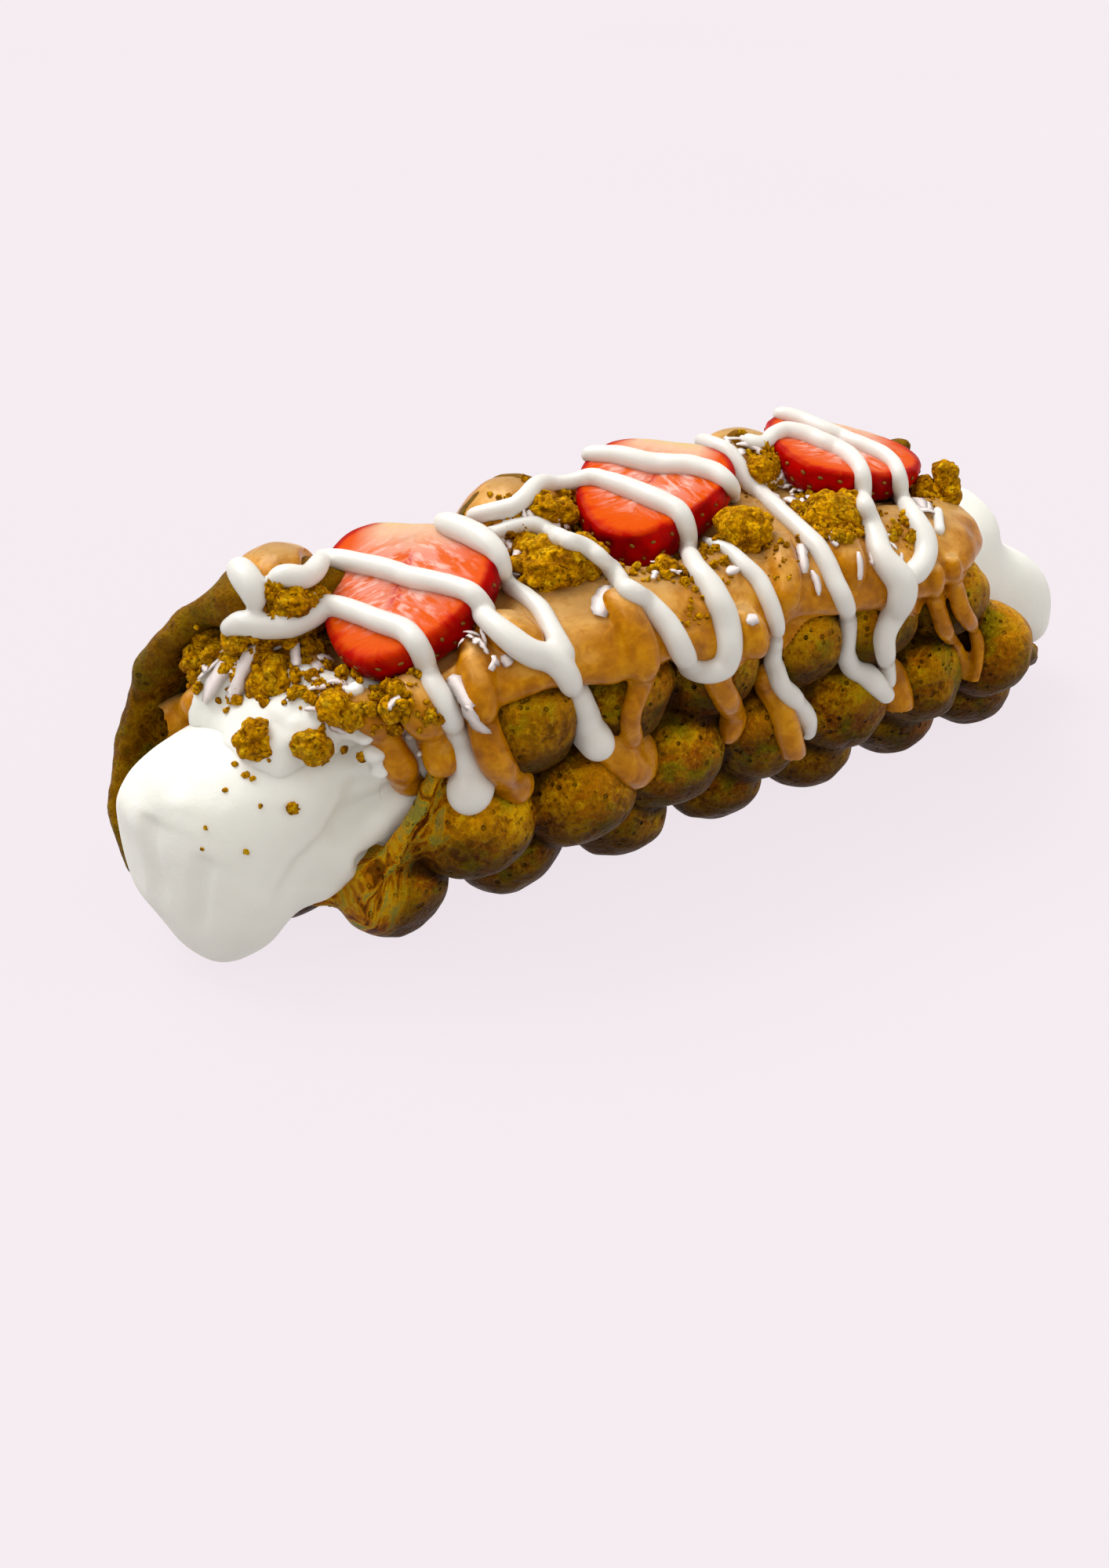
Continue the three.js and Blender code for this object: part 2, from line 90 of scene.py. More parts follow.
# Rings of the end lobes: x, low y, high y, low z, high z.
NEAR_LOBE = np.array([
    [-82, -17.5, 18, 14, 50], [-92, -17.5, 20, 14, 47], [-98, -19, 20.5, 12.5, 46],
    [-104, -19.5, 20.5, 8.5, 45], [-109, -19, 19.5, 1.8, 44], [-114, -17.5, 18, 0.1, 43],
    [-119, -14.5, 16, 0.7, 41.5], [-123.5, -9.5, 13.8, 6.5, 38], [-126.8, -2.5, 11, 15, 32.5],
])
FAR_LOBE = np.array([
    [44, -17, 18, 13, 56], [58, -17, 18, 13, 52], [69, -16, 18, 13, 45], [79, -15, 17, 12.5, 38],
    [88, -13, 15, 9, 33], [94.5, -8, 11, 10, 26],
])
# Balls that swell the lobes, by their middle and radii.
FAR_PUFF = ((63, 1, 43), (13, 15, 11))
FOOT = ((-113.5, -2.5, 9.5), (10, 9, 9.5))
PRESSED = [((-95, -12, 21), (7.5, 6.5, 7)), ((-100, -11.5, 15.5), (5.5, 5, 4.5))]
# Creases of the cream by points of the picture: marks, width, depth, step on one side.
CREASES = [
    ([(438, 975), (434, 1020), (412, 1060), (372, 1096), (346, 1134), (330, 1185),
      (322, 1215)], 3.2, 1.0, 2.2),
    ([(262, 905), (238, 945), (226, 990), (218, 1030)], 2.0, 1.3, 0.8),
    ([(262, 1088), (252, 1130), (250, 1175), (254, 1205)], 1.5, 1.1, 0.5),
    ([(190, 1035), (186, 1080), (196, 1130), (206, 1165)], 1.8, 1.0, 0.6),
    ([(545, 990), (512, 1012), (490, 1028), (440, 1062), (415, 1080)], 2.6, 3.4, 0.0),
    ([(494, 1086), (470, 1102), (452, 1110)], 1.8, 4.0, 0.0),
]

# --- biscuit spread ---

# Stations: x, lower edge y and z, shoulder y and z, z at the far wall.
SPREAD = np.array([
    [-109, -5, 42, -3, 45, 45.5], [-99, -13, 43.5, -11, 48.5, 50.5],
    [-88, -21, 46.5, -18, 54, 56.5], [-76, -29, 48.5, -24, 57.5, 61.5],
    [-63, -33.4, 53, -27, 60.6, 64.6], [-48, -35, 50, -28, 62, 65.6],
    [-36, -34.6, 52.5, -27.5, 62.3, 65.6], [-23, -35.4, 46, -27, 62.6, 65.6],
    [-8, -34, 52, -26.5, 62.3, 65.6], [8, -34.8, 50.5, -27, 62, 65.6],
    [26, -35, 49, -26.5, 62, 65], [38, -34, 52, -26, 61.3, 64.3], [47, -29, 53, -22, 59.5, 62],
])
SPREAD_FAR_Y = 9.0
SPREAD_THICK = 4.5
SPREAD_X = (-102, 47)  # the ends of its sheet

# --- the view ---

EYE_MM = np.array([-188.39, -253.49, 182.12])
ELEVATION, HEADING, ROLL = 26.969, 53.381, 1.0097
LENS = 37.404
SHIFT = (-0.1072, -0.0632)
SENSOR = 36
CLIP = (0.01, 20)
PICTURE = (1414, 2000)

# --- numbers ---


def ease(t):
    """Smooth step of t between 0 and 1."""
    t = np.clip(t, 0, 1)
    return t * t * (3 - 2 * t)


def table(rows, column, at):
    """A column of a table sorted on column 0, read between its rows."""
    return np.interp(at, rows[:, 0], rows[:, column])


def smooth_min(a, b, width):
    """The smaller of a and b, rounded where they are within width of each other."""
    h = np.clip(0.5 + 0.5 * (b - a) / width, 0, 1)
    return b + (a - b) * h - width * h * (1 - h)


class Noise:
    """Smooth value noise in -1..1 on a seeded lattice."""

    SIZE = 48
    START = 1000.5  # keeps the lattice places positive

    def __init__(self, seed):
        self.values = np.random.default_rng(seed).uniform(-1, 1, (self.SIZE,) * 3)

    def __call__(self, points, wave):
        """One value per point; wave is the lattice pitch in the points' units."""
        place = np.asarray(points, float) / wave + self.START
        cell = np.floor(place).astype(int)
        part = ease(place - cell)
        total = 0.0
        for corner in np.ndindex(2, 2, 2):
            at = (cell + corner) % self.SIZE
            weight = np.prod(np.where(corner, part, 1 - part), axis=-1)
            total = total + weight * self.values[at[..., 0], at[..., 1], at[..., 2]]
        return total


NOISE = Noise(7)


def rough(points, *octaves):
    """Sum of noises given as (wave, size)."""
    return sum(size * NOISE(points + 31.7 * i, wave) for i, (wave, size) in enumerate(octaves))


# --- the sheet's section ---


def half_section():
    """The sheet's line on one side, from the bottom: arc, y and z."""
    cut = math.acos((AXIS_Z - BOTTOM_Z) / HALF_HEIGHT)
    t = np.linspace(cut, math.pi, 301)
    y = np.concatenate([[0], HALF_WIDTH * np.sin(t)])
    z = np.concatenate([[BOTTOM_Z], AXIS_Z - HALF_HEIGHT * np.cos(t)])
    s = np.concatenate([[0], np.cumsum(np.hypot(np.diff(y), np.diff(z)))])
    return s, y, z


SECTION = half_section()


def on_line(b):
    """The sheet's line (y, z) at b."""
    s, y, z = SECTION
    return -np.sign(b) * np.interp(np.abs(b), s, y), np.interp(np.abs(b), s, z)


def outward(b):
    """Unit normal (y, z) of the section at b."""
    y0, z0 = on_line(b - 4)
    y1, z1 = on_line(b + 4)
    n = np.array([z0 - z1, y1 - y0])
    return n / np.linalg.norm(n, axis=0)


def arc_of(points):
    """Arc position on the sheet nearest to points, by their turn round the axis."""
    b = np.linspace(-90, 90, 361)
    y, z = on_line(b)
    at = np.arctan2(-points[:, 1], AXIS_Z - points[:, 2])
    return np.interp(at, np.arctan2(-y, AXIS_Z - z), b)


def on_sheet(x, b):
    """A point on the sheet's line."""
    return np.array([x, *on_line(b)])


def on_turn(x, turn, reach):
    """A point reach millimetres from the roll's axis."""
    a = np.radians(turn)
    return np.array([x, -np.sin(a) * reach, AXIS_Z + np.cos(a) * reach])


# --- fields and their surfaces ---


class Field:
    """Distances to a shape on a grid, negative inside."""

    def __init__(self, low, high, step):
        self.low, self.step = np.array(low, float), step
        counts = np.ceil((np.array(high) - self.low) / step).astype(int) + 1
        self.axes = [self.low[i] + step * np.arange(counts[i]) for i in range(3)]
        self.d = np.full(counts, 1e3, np.float32)

    def window(self, low, high):
        """Slices and open x, y, z grids of the part between two corners."""
        at = []
        for i in range(3):
            first = int(np.floor((low[i] - self.low[i]) / self.step))
            last = int(np.ceil((high[i] - self.low[i]) / self.step)) + 1
            at.append(slice(max(0, first), max(0, min(self.d.shape[i], last))))
        grids = np.ix_(*[self.axes[i][at[i]] for i in range(3)])
        return tuple(at), grids

    def whole(self):
        return np.ix_(*self.axes)

    def put(self, distance):
        self.d = distance.astype(np.float32)

    def cut(self, distance):
        """Keeps what is inside distance too."""
        self.put(np.maximum(self.d, distance))

    def join(self, low, high, distance, width):
        """Joins a shape given by distance(x, y, z), rounding the joint over width."""
        at, grids = self.window(np.array(low) - width, np.array(high) + width)
        if self.d[at].size:
            self.d[at] = smooth_min(self.d[at], distance(*grids), width)

    def ball(self, centre, radii, width, axes=None):
        """Joins an ellipsoid; the rows of axes are its directions."""
        centre, radii = np.array(centre, float), np.broadcast_to(radii, 3).astype(float)
        axes = np.eye(3) if axes is None else np.array(axes)
        reach = np.sqrt(((axes * radii[:, None]) ** 2).sum(0)) + 0.5

        def distance(x, y, z):
            q = 0.0
            for axis, radius in zip(axes, radii):
                along = (x - centre[0]) * axis[0] + (y - centre[1]) * axis[1]
                q = q + ((along + (z - centre[2]) * axis[2]) / radius) ** 2
            return (np.sqrt(q) - 1) * radii.min()

        self.join(centre - reach, centre + reach, distance, width)

    def rope(self, points, radii, width):
        """Joins a round strand through points with a radius at each."""
        points = np.array(points, float)
        for a, b, ra, rb in zip(points[:-1], points[1:], radii[:-1], radii[1:]):
            reach = max(ra, rb) + self.step
            low, high = np.minimum(a, b) - reach, np.maximum(a, b) + reach
            span = b - a
            length2 = max(1e-9, float(span @ span))

            def distance(x, y, z):
                t = (x - a[0]) * span[0] + (y - a[1]) * span[1] + (z - a[2]) * span[2]
                t = np.clip(t / length2, 0, 1)
                dx, dy, dz = (g - a[i] - t * span[i] for i, g in enumerate((x, y, z)))
                return np.sqrt(dx * dx + dy * dy + dz * dz) - (ra + (rb - ra) * t)

            self.join(low, high, distance, width)

    def soften(self, times):
        """Averages the distances with their neighbours, which rounds edges."""
        for _ in range(times):
            for axis in range(3):
                ends = [(1, 1) if i == axis else (0, 0) for i in range(3)]
                d = np.pad(self.d, ends, mode="edge")
                n = self.d.shape[axis]
                parts = [np.take(d, range(k, k + n), axis) for k in range(3)]
                self.d = 0.25 * parts[0] + 0.5 * parts[1] + 0.25 * parts[2]

    def skin(self, relax=1):
        """Points and outward quads where the distance is zero."""
        d = self.d
        inside = d < 0
        corners = list(np.ndindex(2, 2, 2))
        n = np.array(d.shape) - 1

        def at(grid, corner):
            return grid[tuple(slice(c, c + m) for c, m in zip(corner, n))]

        total = sum(at(inside, c).astype(np.int8) for c in corners)
        cells = np.argwhere((total > 0) & (total < 8))
        number = np.full(n, -1, np.int64)
        number[tuple(cells.T)] = np.arange(len(cells))
        sums, counts = np.zeros((len(cells), 3)), np.zeros(len(cells))
        for axis in range(3):
            for a in (c for c in corners if c[axis] == 0):
                b = tuple(v + (i == axis) for i, v in enumerate(a))
                da, db = d[tuple((cells + a).T)], d[tuple((cells + b).T)]
                cross = (da < 0) != (db < 0)
                t = np.where(cross, da / np.where(cross, da - db, 1), 0)
                place = np.array(a) + t[:, None] * (np.arange(3) == axis)
                sums += np.where(cross[:, None], place, 0)
                counts += cross
        points = self.low + (cells + sums / counts[:, None]) * self.step
        quads = []
        for axis in range(3):
            u, v = (axis + 1) % 3, (axis + 2) % 3
            first = tuple(slice(0, -1) if i == axis else slice(1, -1) for i in range(3))
            second = tuple(slice(1, None) if i == axis else slice(1, -1) for i in range(3))
            for solid_first in (True, False):
                hit = (inside[first] == solid_first) & (inside[second] != solid_first)
                edge = np.argwhere(hit) + (np.arange(3) != axis)
                ring = []
                for du, dv in ((-1, -1), (0, -1), (0, 0), (-1, 0)):
                    cell = edge.copy()
                    cell[:, u] += du
                    cell[:, v] += dv
                    ring.append(number[tuple(cell.T)])
                ring = np.stack(ring, 1)
                quads.append(ring if solid_first else ring[:, ::-1])
        quads = np.concatenate(quads)
        for _ in range(relax):
            points = relaxed(points, quads, 0.5)
        return points, quads


def relaxed(points, faces, share):
    """Points moved toward the middle of their neighbours."""
    sums, counts = np.zeros_like(points), np.zeros(len(points))
    for k in range(faces.shape[1]):
        here, after = faces[:, k], faces[:, (k + 1) % faces.shape[1]]
        for i in range(points.shape[1]):
            sums[:, i] += np.bincount(here, points[after, i], len(points))
        counts += np.bincount(here, minlength=len(points))
    return points + share * (sums / np.maximum(counts, 1)[:, None] - points)


def normals_of(points, faces):
    """Unit normals at the points."""
    a = points[faces[:, 2]] - points[faces[:, 0]]
    b = points[faces[:, -1]] - points[faces[:, 1]]
    flat = np.cross(a, b) if faces.shape[1] == 4 else np.cross(-b, a)
    out = np.zeros_like(points)
    for k in range(faces.shape[1]):
        for i in range(3):
            out[:, i] += np.bincount(faces[:, k], flat[:, i], len(points))
    return out / np.maximum(np.linalg.norm(out, axis=1), 1e-12)[:, None]


def roughened(points, faces, *octaves):
    """Points moved in and out by noise."""
    return points + normals_of(points, faces) * rough(points, *octaves)[:, None]


def joined(meshes):
    """One set of points and faces from several."""
    points, faces = zip(*meshes)
    starts = np.cumsum([0, *map(len, points[:-1])])
    faces = [part + start for part, start in zip(faces, starts)]
    return np.concatenate(points), np.concatenate(faces)


# --- pieces ---


def store(mesh, name, values):
    """A number or a vector at each point, for the looks to read."""
    kind, field = ("FLOAT", "value") if values.ndim == 1 else ("FLOAT_VECTOR", "vector")
    layer = mesh.attributes.new(name, kind, "POINT")
    layer.data.foreach_set(field, values.astype(np.float32).ravel())


def piece(name, points, faces, material, slot, replaces=(), **attributes):
    """A smooth mesh of the roll, given in its frame in millimetres."""
    mesh = bpy.data.meshes.new(name)
    sides = faces.shape[1]
    mesh.vertices.add(len(points))
    mesh.vertices.foreach_set("co", ((points + ORIGIN) / 1000).astype(np.float32).ravel())
    mesh.loops.add(faces.size)
    mesh.loops.foreach_set("vertex_index", faces.astype(np.int32).ravel())
    mesh.polygons.add(len(faces))
    mesh.polygons.foreach_set("loop_start", np.arange(0, faces.size, sides, dtype=np.int32))
    mesh.update(calc_edges=True)
    mesh.polygons.foreach_set("use_smooth", np.ones(len(faces), bool))
    for key, values in attributes.items():
        store(mesh, key, values)
    mesh.materials.append(material)
    made = bpy.data.objects.new(name, mesh)
    bpy.context.scene.collection.objects.link(made)
    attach(made, "root")
    if replaces:
        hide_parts(*replaces)
    return made


def tree_of(*meshes):
    """A tree of some meshes to cast rays on."""
    points, faces = joined(meshes)
    return BVHTree.FromPolygons(points.tolist(), faces.tolist())


# --- node materials ---


def srgb(*screen):
    """A linear colour from 0-255 screen values."""
    return tuple(
        v / 12.92 if v <= 0.04045 else ((v + 0.055) / 1.055) ** 2.4
        for v in (value / 255 for value in screen)
    )


class Value:
    """An output of a look's nodes. Arithmetic on it adds Math nodes."""

    def __init__(self, look, socket):
        self.look, self.socket = look, socket

    def __add__(self, other):
        return self.look.math("ADD", self, other)

    def __sub__(self, other):
        return self.look.math("SUBTRACT", self, other)

    def __rsub__(self, other):
        return self.look.math("SUBTRACT", other, self)

    def __mul__(self, other):
        return self.look.math("MULTIPLY", self, other)

    def span(self, low, high, to_low=0.0, to_high=1.0):
        """The value moved from low..high to to_low..to_high, held at the ends."""
        names = ("Value", "From Min", "From Max", "To Min", "To Max")
        values = dict(zip(names, (self, low, high, to_low, to_high)))
        return self.look.add("MapRange", "Result", values)


class Looks:
    """A procedural material. Sizes are in millimetres, colours 0-255 screen values."""

    def __init__(self, name):
        self.material = bpy.data.materials.new(name)
        self.material.use_nodes = True
        self.nodes = self.material.node_tree.nodes
        self.links = self.material.node_tree.links
        self.place = self.add("TexCoord", "Object", {})

    def put(self, socket, value):
        if isinstance(value, Value):
            self.links.new(value.socket, socket)
        elif socket.type == "RGBA" and len(value) == 3:
            socket.default_value = (*srgb(*value), 1)
        else:
            socket.default_value = value

    def node(self, kind, inputs, **settings):
        made = self.nodes.new("ShaderNode" + kind)
        for key, value in settings.items():
            setattr(made, key, value)
        for key, value in inputs.items():
            self.put(made.inputs[key], value)
        return made

    def add(self, kind, output, inputs, **settings):
        """One output of a new node."""
        return Value(self, self.node(kind, inputs, **settings).outputs[output])

    def attribute(self, name, output="Fac"):
        return self.add("Attribute", output, {}, attribute_name=name)

    def parts(self, name):
        """The three numbers of a vector attribute."""
        node = self.node("SeparateXYZ", {"Vector": self.attribute(name, "Vector")})
        return [Value(self, socket) for socket in node.outputs]

    def noise(self, size, detail=3.0, roughness=0.6, twist=0.0, place=None):
        """Noise, where place gives its coordinates of a size in their own unit."""
        scale = (1 if place else 1000) / size
        if place:
            place = self.add("CombineXYZ", "Vector", dict(zip("XYZ", place)))
        names = ("Vector", "Scale", "Detail", "Roughness", "Distortion")
        values = (place or self.place, scale, detail, roughness, twist)
        return self.add("TexNoise", "Fac", dict(zip(names, values)))

    def cells(self, size):
        """Distance to the nearest of scattered points."""
        values = {"Vector": self.place, "Scale": 1000 / size}
        return self.add("TexVoronoi", "Distance", values)

    def math(self, operation, a, b=0.0):
        return self.add("Math", "Value", {0: a, 1: b}, operation=operation)

    def mix(self, share, a, b):
        return self.add("Mix", 2, {0: share, 6: a, 7: b}, data_type="RGBA")

    def paint(self, colour, *coats):
        """A colour under coats given as (share, colour)."""
        for share, coat in coats:
            colour = self.mix(share, colour, coat)
        return colour

    def ramp(self, value, *stops):
        """Colours along a value, given as (place, red, green, blue)."""
        node = self.node("ValToRGB", {"Fac": value})
        elements = node.color_ramp.elements
        while len(elements) < len(stops):
            elements.new(0.5)
        for element, (place, *colour) in zip(elements, stops):
            element.position = place
            element.color = (*srgb(*colour), 1)
        return Value(self, node.outputs["Color"])

    def relief(self, bumps):
        """Bumps on top of each other, given as (height, depth in mm)."""
        below = {}
        for height, deep in bumps:
            values = {"Height": height, "Distance": deep / 1000, "Strength": 1.0}
            below = {"Normal": self.add("Bump", "Normal", values | below)}
        return below

    def finish(self, colour, roughness, bumps, shine=0.5, tint=(255,) * 3, soak=None, **inputs):
        """soak: how much light enters, and how far its red, green and blue reach."""
        inputs |= {"Base Color": colour, "Roughness": roughness, **self.relief(bumps)}
        inputs |= {"Specular IOR Level": shine, "Specular Tint": tint}
        if soak:
            share, *reach = soak
            radius = tuple(far / 1000 for far in reach)
            inputs |= {"Subsurface Weight": share, "Subsurface Radius": radius}
            inputs["Subsurface Scale"] = 1.0
        for key, value in inputs.items():
            self.put(self.nodes["Principled BSDF"].inputs[key], value)
        return self.material


GOLD_SHINE = (255, 176, 40)


def waffle_looks():
    look = Looks("waffle")
    valley, up, shut = (look.attribute(name) for name in ("valley", "up", "shut"))
    inward, arc, outer = look.parts("lip")
    blotch = look.noise(4.0, 4, 0.7, 0.5)
    grain = look.noise(2.0)
    speck = look.noise(1.0, 3, 0.65)
    green, ruddy = look.noise(8), look.noise(8.7, twist=0.8)
    # The dark pits are the crust's own pock marks, but they gather where nearby surfaces shut off
    # the sky, which adds painted shade in the crevices.
    pit = look.cells(2.1).span(0.12, 0.26, 1, 0) * (look.noise(5, 1) + shut).span(0.52, 0.66)
    # The torn lip shows thin layers that follow its edge.
    torn = inward.span(2, 6, 1, 0) * arc.span(2, 8)
    layer = look.noise(1 / 0.9, 3, 0.6, 0.6, (inward, arc * 0.25))
    layers = look.ramp(
        layer, (0.38, 82, 28, 0), (0.46, 176, 100, 0), (0.54, 214, 160, 10), (0.62, 138, 144, 62)
    )
    tone = look.noise(12, 2, 0.5) * 0.4 + blotch * 0.35 + grain * 0.25
    # The crust's colour: its own tones, then painted highlight on bubble crowns and up-facing
    # parts, and painted shade on low rows, undersides, crevices and shut-in parts.
    crust_with_painted_light = look.paint(
        look.ramp(
            tone, (0.40, 98, 48, 0), (0.46, 160, 96, 0), (0.52, 204, 136, 0), (0.59, 240, 182, 6)
        ),
        (green.span(0.49, 0.60, 0, 0.85), look.mix(grain, (56, 66, 0), (148, 146, 10))),
        (ruddy.span(0.50, 0.61, 0, 0.85), look.mix(grain, (116, 42, 0), (214, 112, 4))),
        (speck.span(0.54, 0.70, 0, 0.6), (226, 176, 24)),
        (speck.span(0.46, 0.32, 0, 0.75), (60, 26, 0)),
        (pit * 0.85, (26, 10, 0)),
        # Painted highlight: bubble crowns and faces that point up are made paler gold.
        (valley.span(-0.3, -0.9, 0, 0.3), (226, 166, 16)),
        (up.span(0.3, 0.95, 0, 0.3), (220, 160, 12)),
        # Painted shade: the rows low on the roll are darkened.
        (arc.span(36, 4, 0, 0.7), (50, 30, 0)),
        # Painted shade: faces that point down, mostly on the outer side, are darkened almost to
        # black.
        (up.span(0.55, -0.35, 0, 0.85) * outer.span(0, 1, 0.3, 1), (34, 13, 0)),
        # Painted shade: the crevices between bubbles are darkened.
        (valley.span(0.05, 0.9, 0, 0.85), (30, 11, 0)),
        # Painted shade: parts whose sky is shut off by nearby surfaces are darkened.
        (shut.span(0.34, 0.86, 0, 0.95), (24, 8, 0)),
        (torn * 0.75, layers),
    )
    bumps = [(blotch * 0.9 - pit, 0.8), (grain, 0.5), (speck, 0.35), (layer * torn, 0.9)]
    return look.finish(crust_with_painted_light, blotch.span(0.3, 0.7, 0.36, 0.58), bumps, 0.06, GOLD_SHINE)


def cream_looks():
    look = Looks("cream")
    soft = look.noise(9, 2, 0.5)
    colour = look.mix(soft, (236, 236, 226), (243, 243, 236))
    bumps = [(look.noise(3.2, 3, 0.55), 0.2), (look.noise(0.6, 2, 0.5), 0.03)]
    return look.finish(colour, soft.span(0.3, 0.7, 0.42, 0.55), bumps, soak=(0.3, 4, 3.7, 3))


def spread_looks():
    look = Looks("spread")
    up = look.attribute("up")
    broad = look.noise(9, 3, 0.55, 0.8)
    fine = look.noise(2.6, 3, 0.55, 0.6)
    tone = broad * 0.6 + fine * 0.4
    colour = look.paint(
        look.ramp(tone, (0.36, 154, 90, 0), (0.50, 188, 118, 0), (0.64, 212, 146, 10)),
        # Painted highlight: faces that point up are made a paler tan, standing in for the sky's
        # sheen on the glossy spread.
        (up.span(0.5, 0.9) * broad.span(0.40, 0.60, 0.2, 0.95), (222, 172, 96)),
        (up.span(0.82, 0.97, 0, 0.75), (178, 138, 80)),
        (look.noise(3.4, 2, 0.5, 2.0).span(0.54, 0.66, 0, 0.3), (156, 92, 0)),
    )
    roughness = fine.span(0.3, 0.7, 0.2, 0.32)
    tint, soak = (255, 210, 150), (0.05, 3, 1.5, 0.5)
    return look.finish(colour, roughness, [(fine, 0.14)], 0.32, tint, soak)


def berry_looks():
    look = Looks("strawberry")
    # Along the slice, across it, and the share of skin.
    u, v, skin = look.parts("slice_at")
    rim = look.attribute("rim")
    side = look.math("ABSOLUTE", v)
    swept = u - side * 0.6
    half = look.math("SIGN", v) * 3.0
    ray = look.noise(1 / 1.3, 2, 0.5, 0.3, (swept * 4.6, side * 2.2, half))
    fine = look.noise(1 / 1.6, 3, 0.6, 0.3, (swept * 8.0, side * 3.2, half))
    away = look.math("SQRT", look.math("POWER", v, 2.0) + look.math("POWER", u + 0.08, 2.0))
    core = side.span(0.10, 0.03) * look.math("ABSOLUTE", u).span(0.5, 0.3) * fine.span(0.42, 0.54)
    calyx = (u + fine * 0.3).span(-0.22, -0.56) * side.span(0.74, 0.42)
    leafy = (u + ray * 0.3).span(-0.60, -0.74) * side.span(0.55, 0.3)
    stem = u.span(-0.40, -0.66) * side.span(0.62, 0.40)
    edge = (rim + fine * 0.06).span(0.91, 0.97) * (1.0 - stem) * u.span(0.35, 0.8, 1.0, 0.55)
    flesh = look.ramp(
        rim + (ray - 0.5) * 0.4,
        (0.05, 214, 112, 74),
        (0.30, 212, 94, 36),
        (0.55, 212, 84, 6),
        (0.86, 212, 76, 0),
        (0.95, 204, 52, 0),
        (1.0, 180, 16, 0),
    )
    flesh = look.paint(
        flesh,
        (ray.span(0.42, 0.54) * away.span(0.86, 0.45) * 0.85, (218, 140, 120)),
        (fine.span(0.50, 0.62) * away.span(0.92, 0.40) * 0.85, (230, 182, 168)),
        (core * 0.8, (190, 26, 0)),
        (calyx * 0.8, (220, 190, 158)),
        (leafy * 0.7, (206, 192, 120)),
        (edge * 0.92, (160, 0, 4)),
    )
    rind = look.mix(look.noise(7, 2, 0.5).span(0.35, 0.65), (116, 0, 4), (204, 6, 2))
    rind = look.mix(u.span(-0.75, -0.95), rind, (220, 120, 60))
    bumps = [(fine * (1.0 - skin), 0.22), (look.noise(0.9, 2, 0.5), 0.05)]
    roughness = fine.span(0.3, 0.7, 0.3, 0.45)
    tint, soak = (255, 170, 120), (0.05, 3, 0.8, 0.4)
    return look.finish(look.mix(skin, flesh, rind), roughness, bumps, 0.05, tint, soak)


def seed_looks():
    look = Looks("seed")
    tone = look.mix(look.noise(1.5, 2), (92, 54, 2), (168, 112, 18))
    return look.finish(tone, 0.5, [(look.noise(0.3, 1), 0.05)], 0.3)


def biscuit_looks():
    look = Looks("biscuit")
    broad = look.noise(5.5, 2, 0.5)
    blotch = look.noise(1.8, 4, 0.7)
    crack = look.noise(1.5, twist=1.4)
    cell = look.cells(0.9)
    tone = broad * 0.4 + blotch * 0.6
    colour = look.paint(
        look.ramp(
            tone,
            (0.38, 130, 80, 0),
            (0.46, 188, 127, 0),
            (0.54, 222, 162, 0),
            (0.62, 248, 200, 30),
        ),
        (broad.span(0.52, 0.64, 0, 0.5), (136, 84, 0)),
        (crack.span(0.44, 0.36, 0, 0.8), (64, 30, 0)),
        (cell.span(0.42, 0.66, 0, 0.45), (84, 42, 0)),
    )
    bumps = [(look.noise(0.9, 3, 0.65) + crack - cell, 0.35)]
    return look.finish(colour, blotch.span(0.3, 0.7, 0.7, 0.9), bumps, 0.15, GOLD_SHINE)


def drizzle_looks():
    look = Looks("drizzle")
    tone = look.mix(look.noise(6, 2), (220, 218, 211), (231, 229, 222))
    roughness = look.noise(3, 2).span(0.3, 0.7, 0.3, 0.42)
    bumps = [(look.noise(2.2, 2), 0.06)]
    return look.finish(tone, roughness, bumps, soak=(0.3, 3, 2.6, 2.2))


def flake_looks():
    look = Looks("shaving")
    tone = look.mix(look.noise(2, 2), (226, 212, 208), (242, 234, 230))
    return look.finish(tone, 0.5, [(look.noise(0.8, 2), 0.08)])


CREAM_LOOKS = cream_looks()
BERRY_LOOKS = berry_looks()
BISCUIT_LOOKS = biscuit_looks()

# --- waffle ---


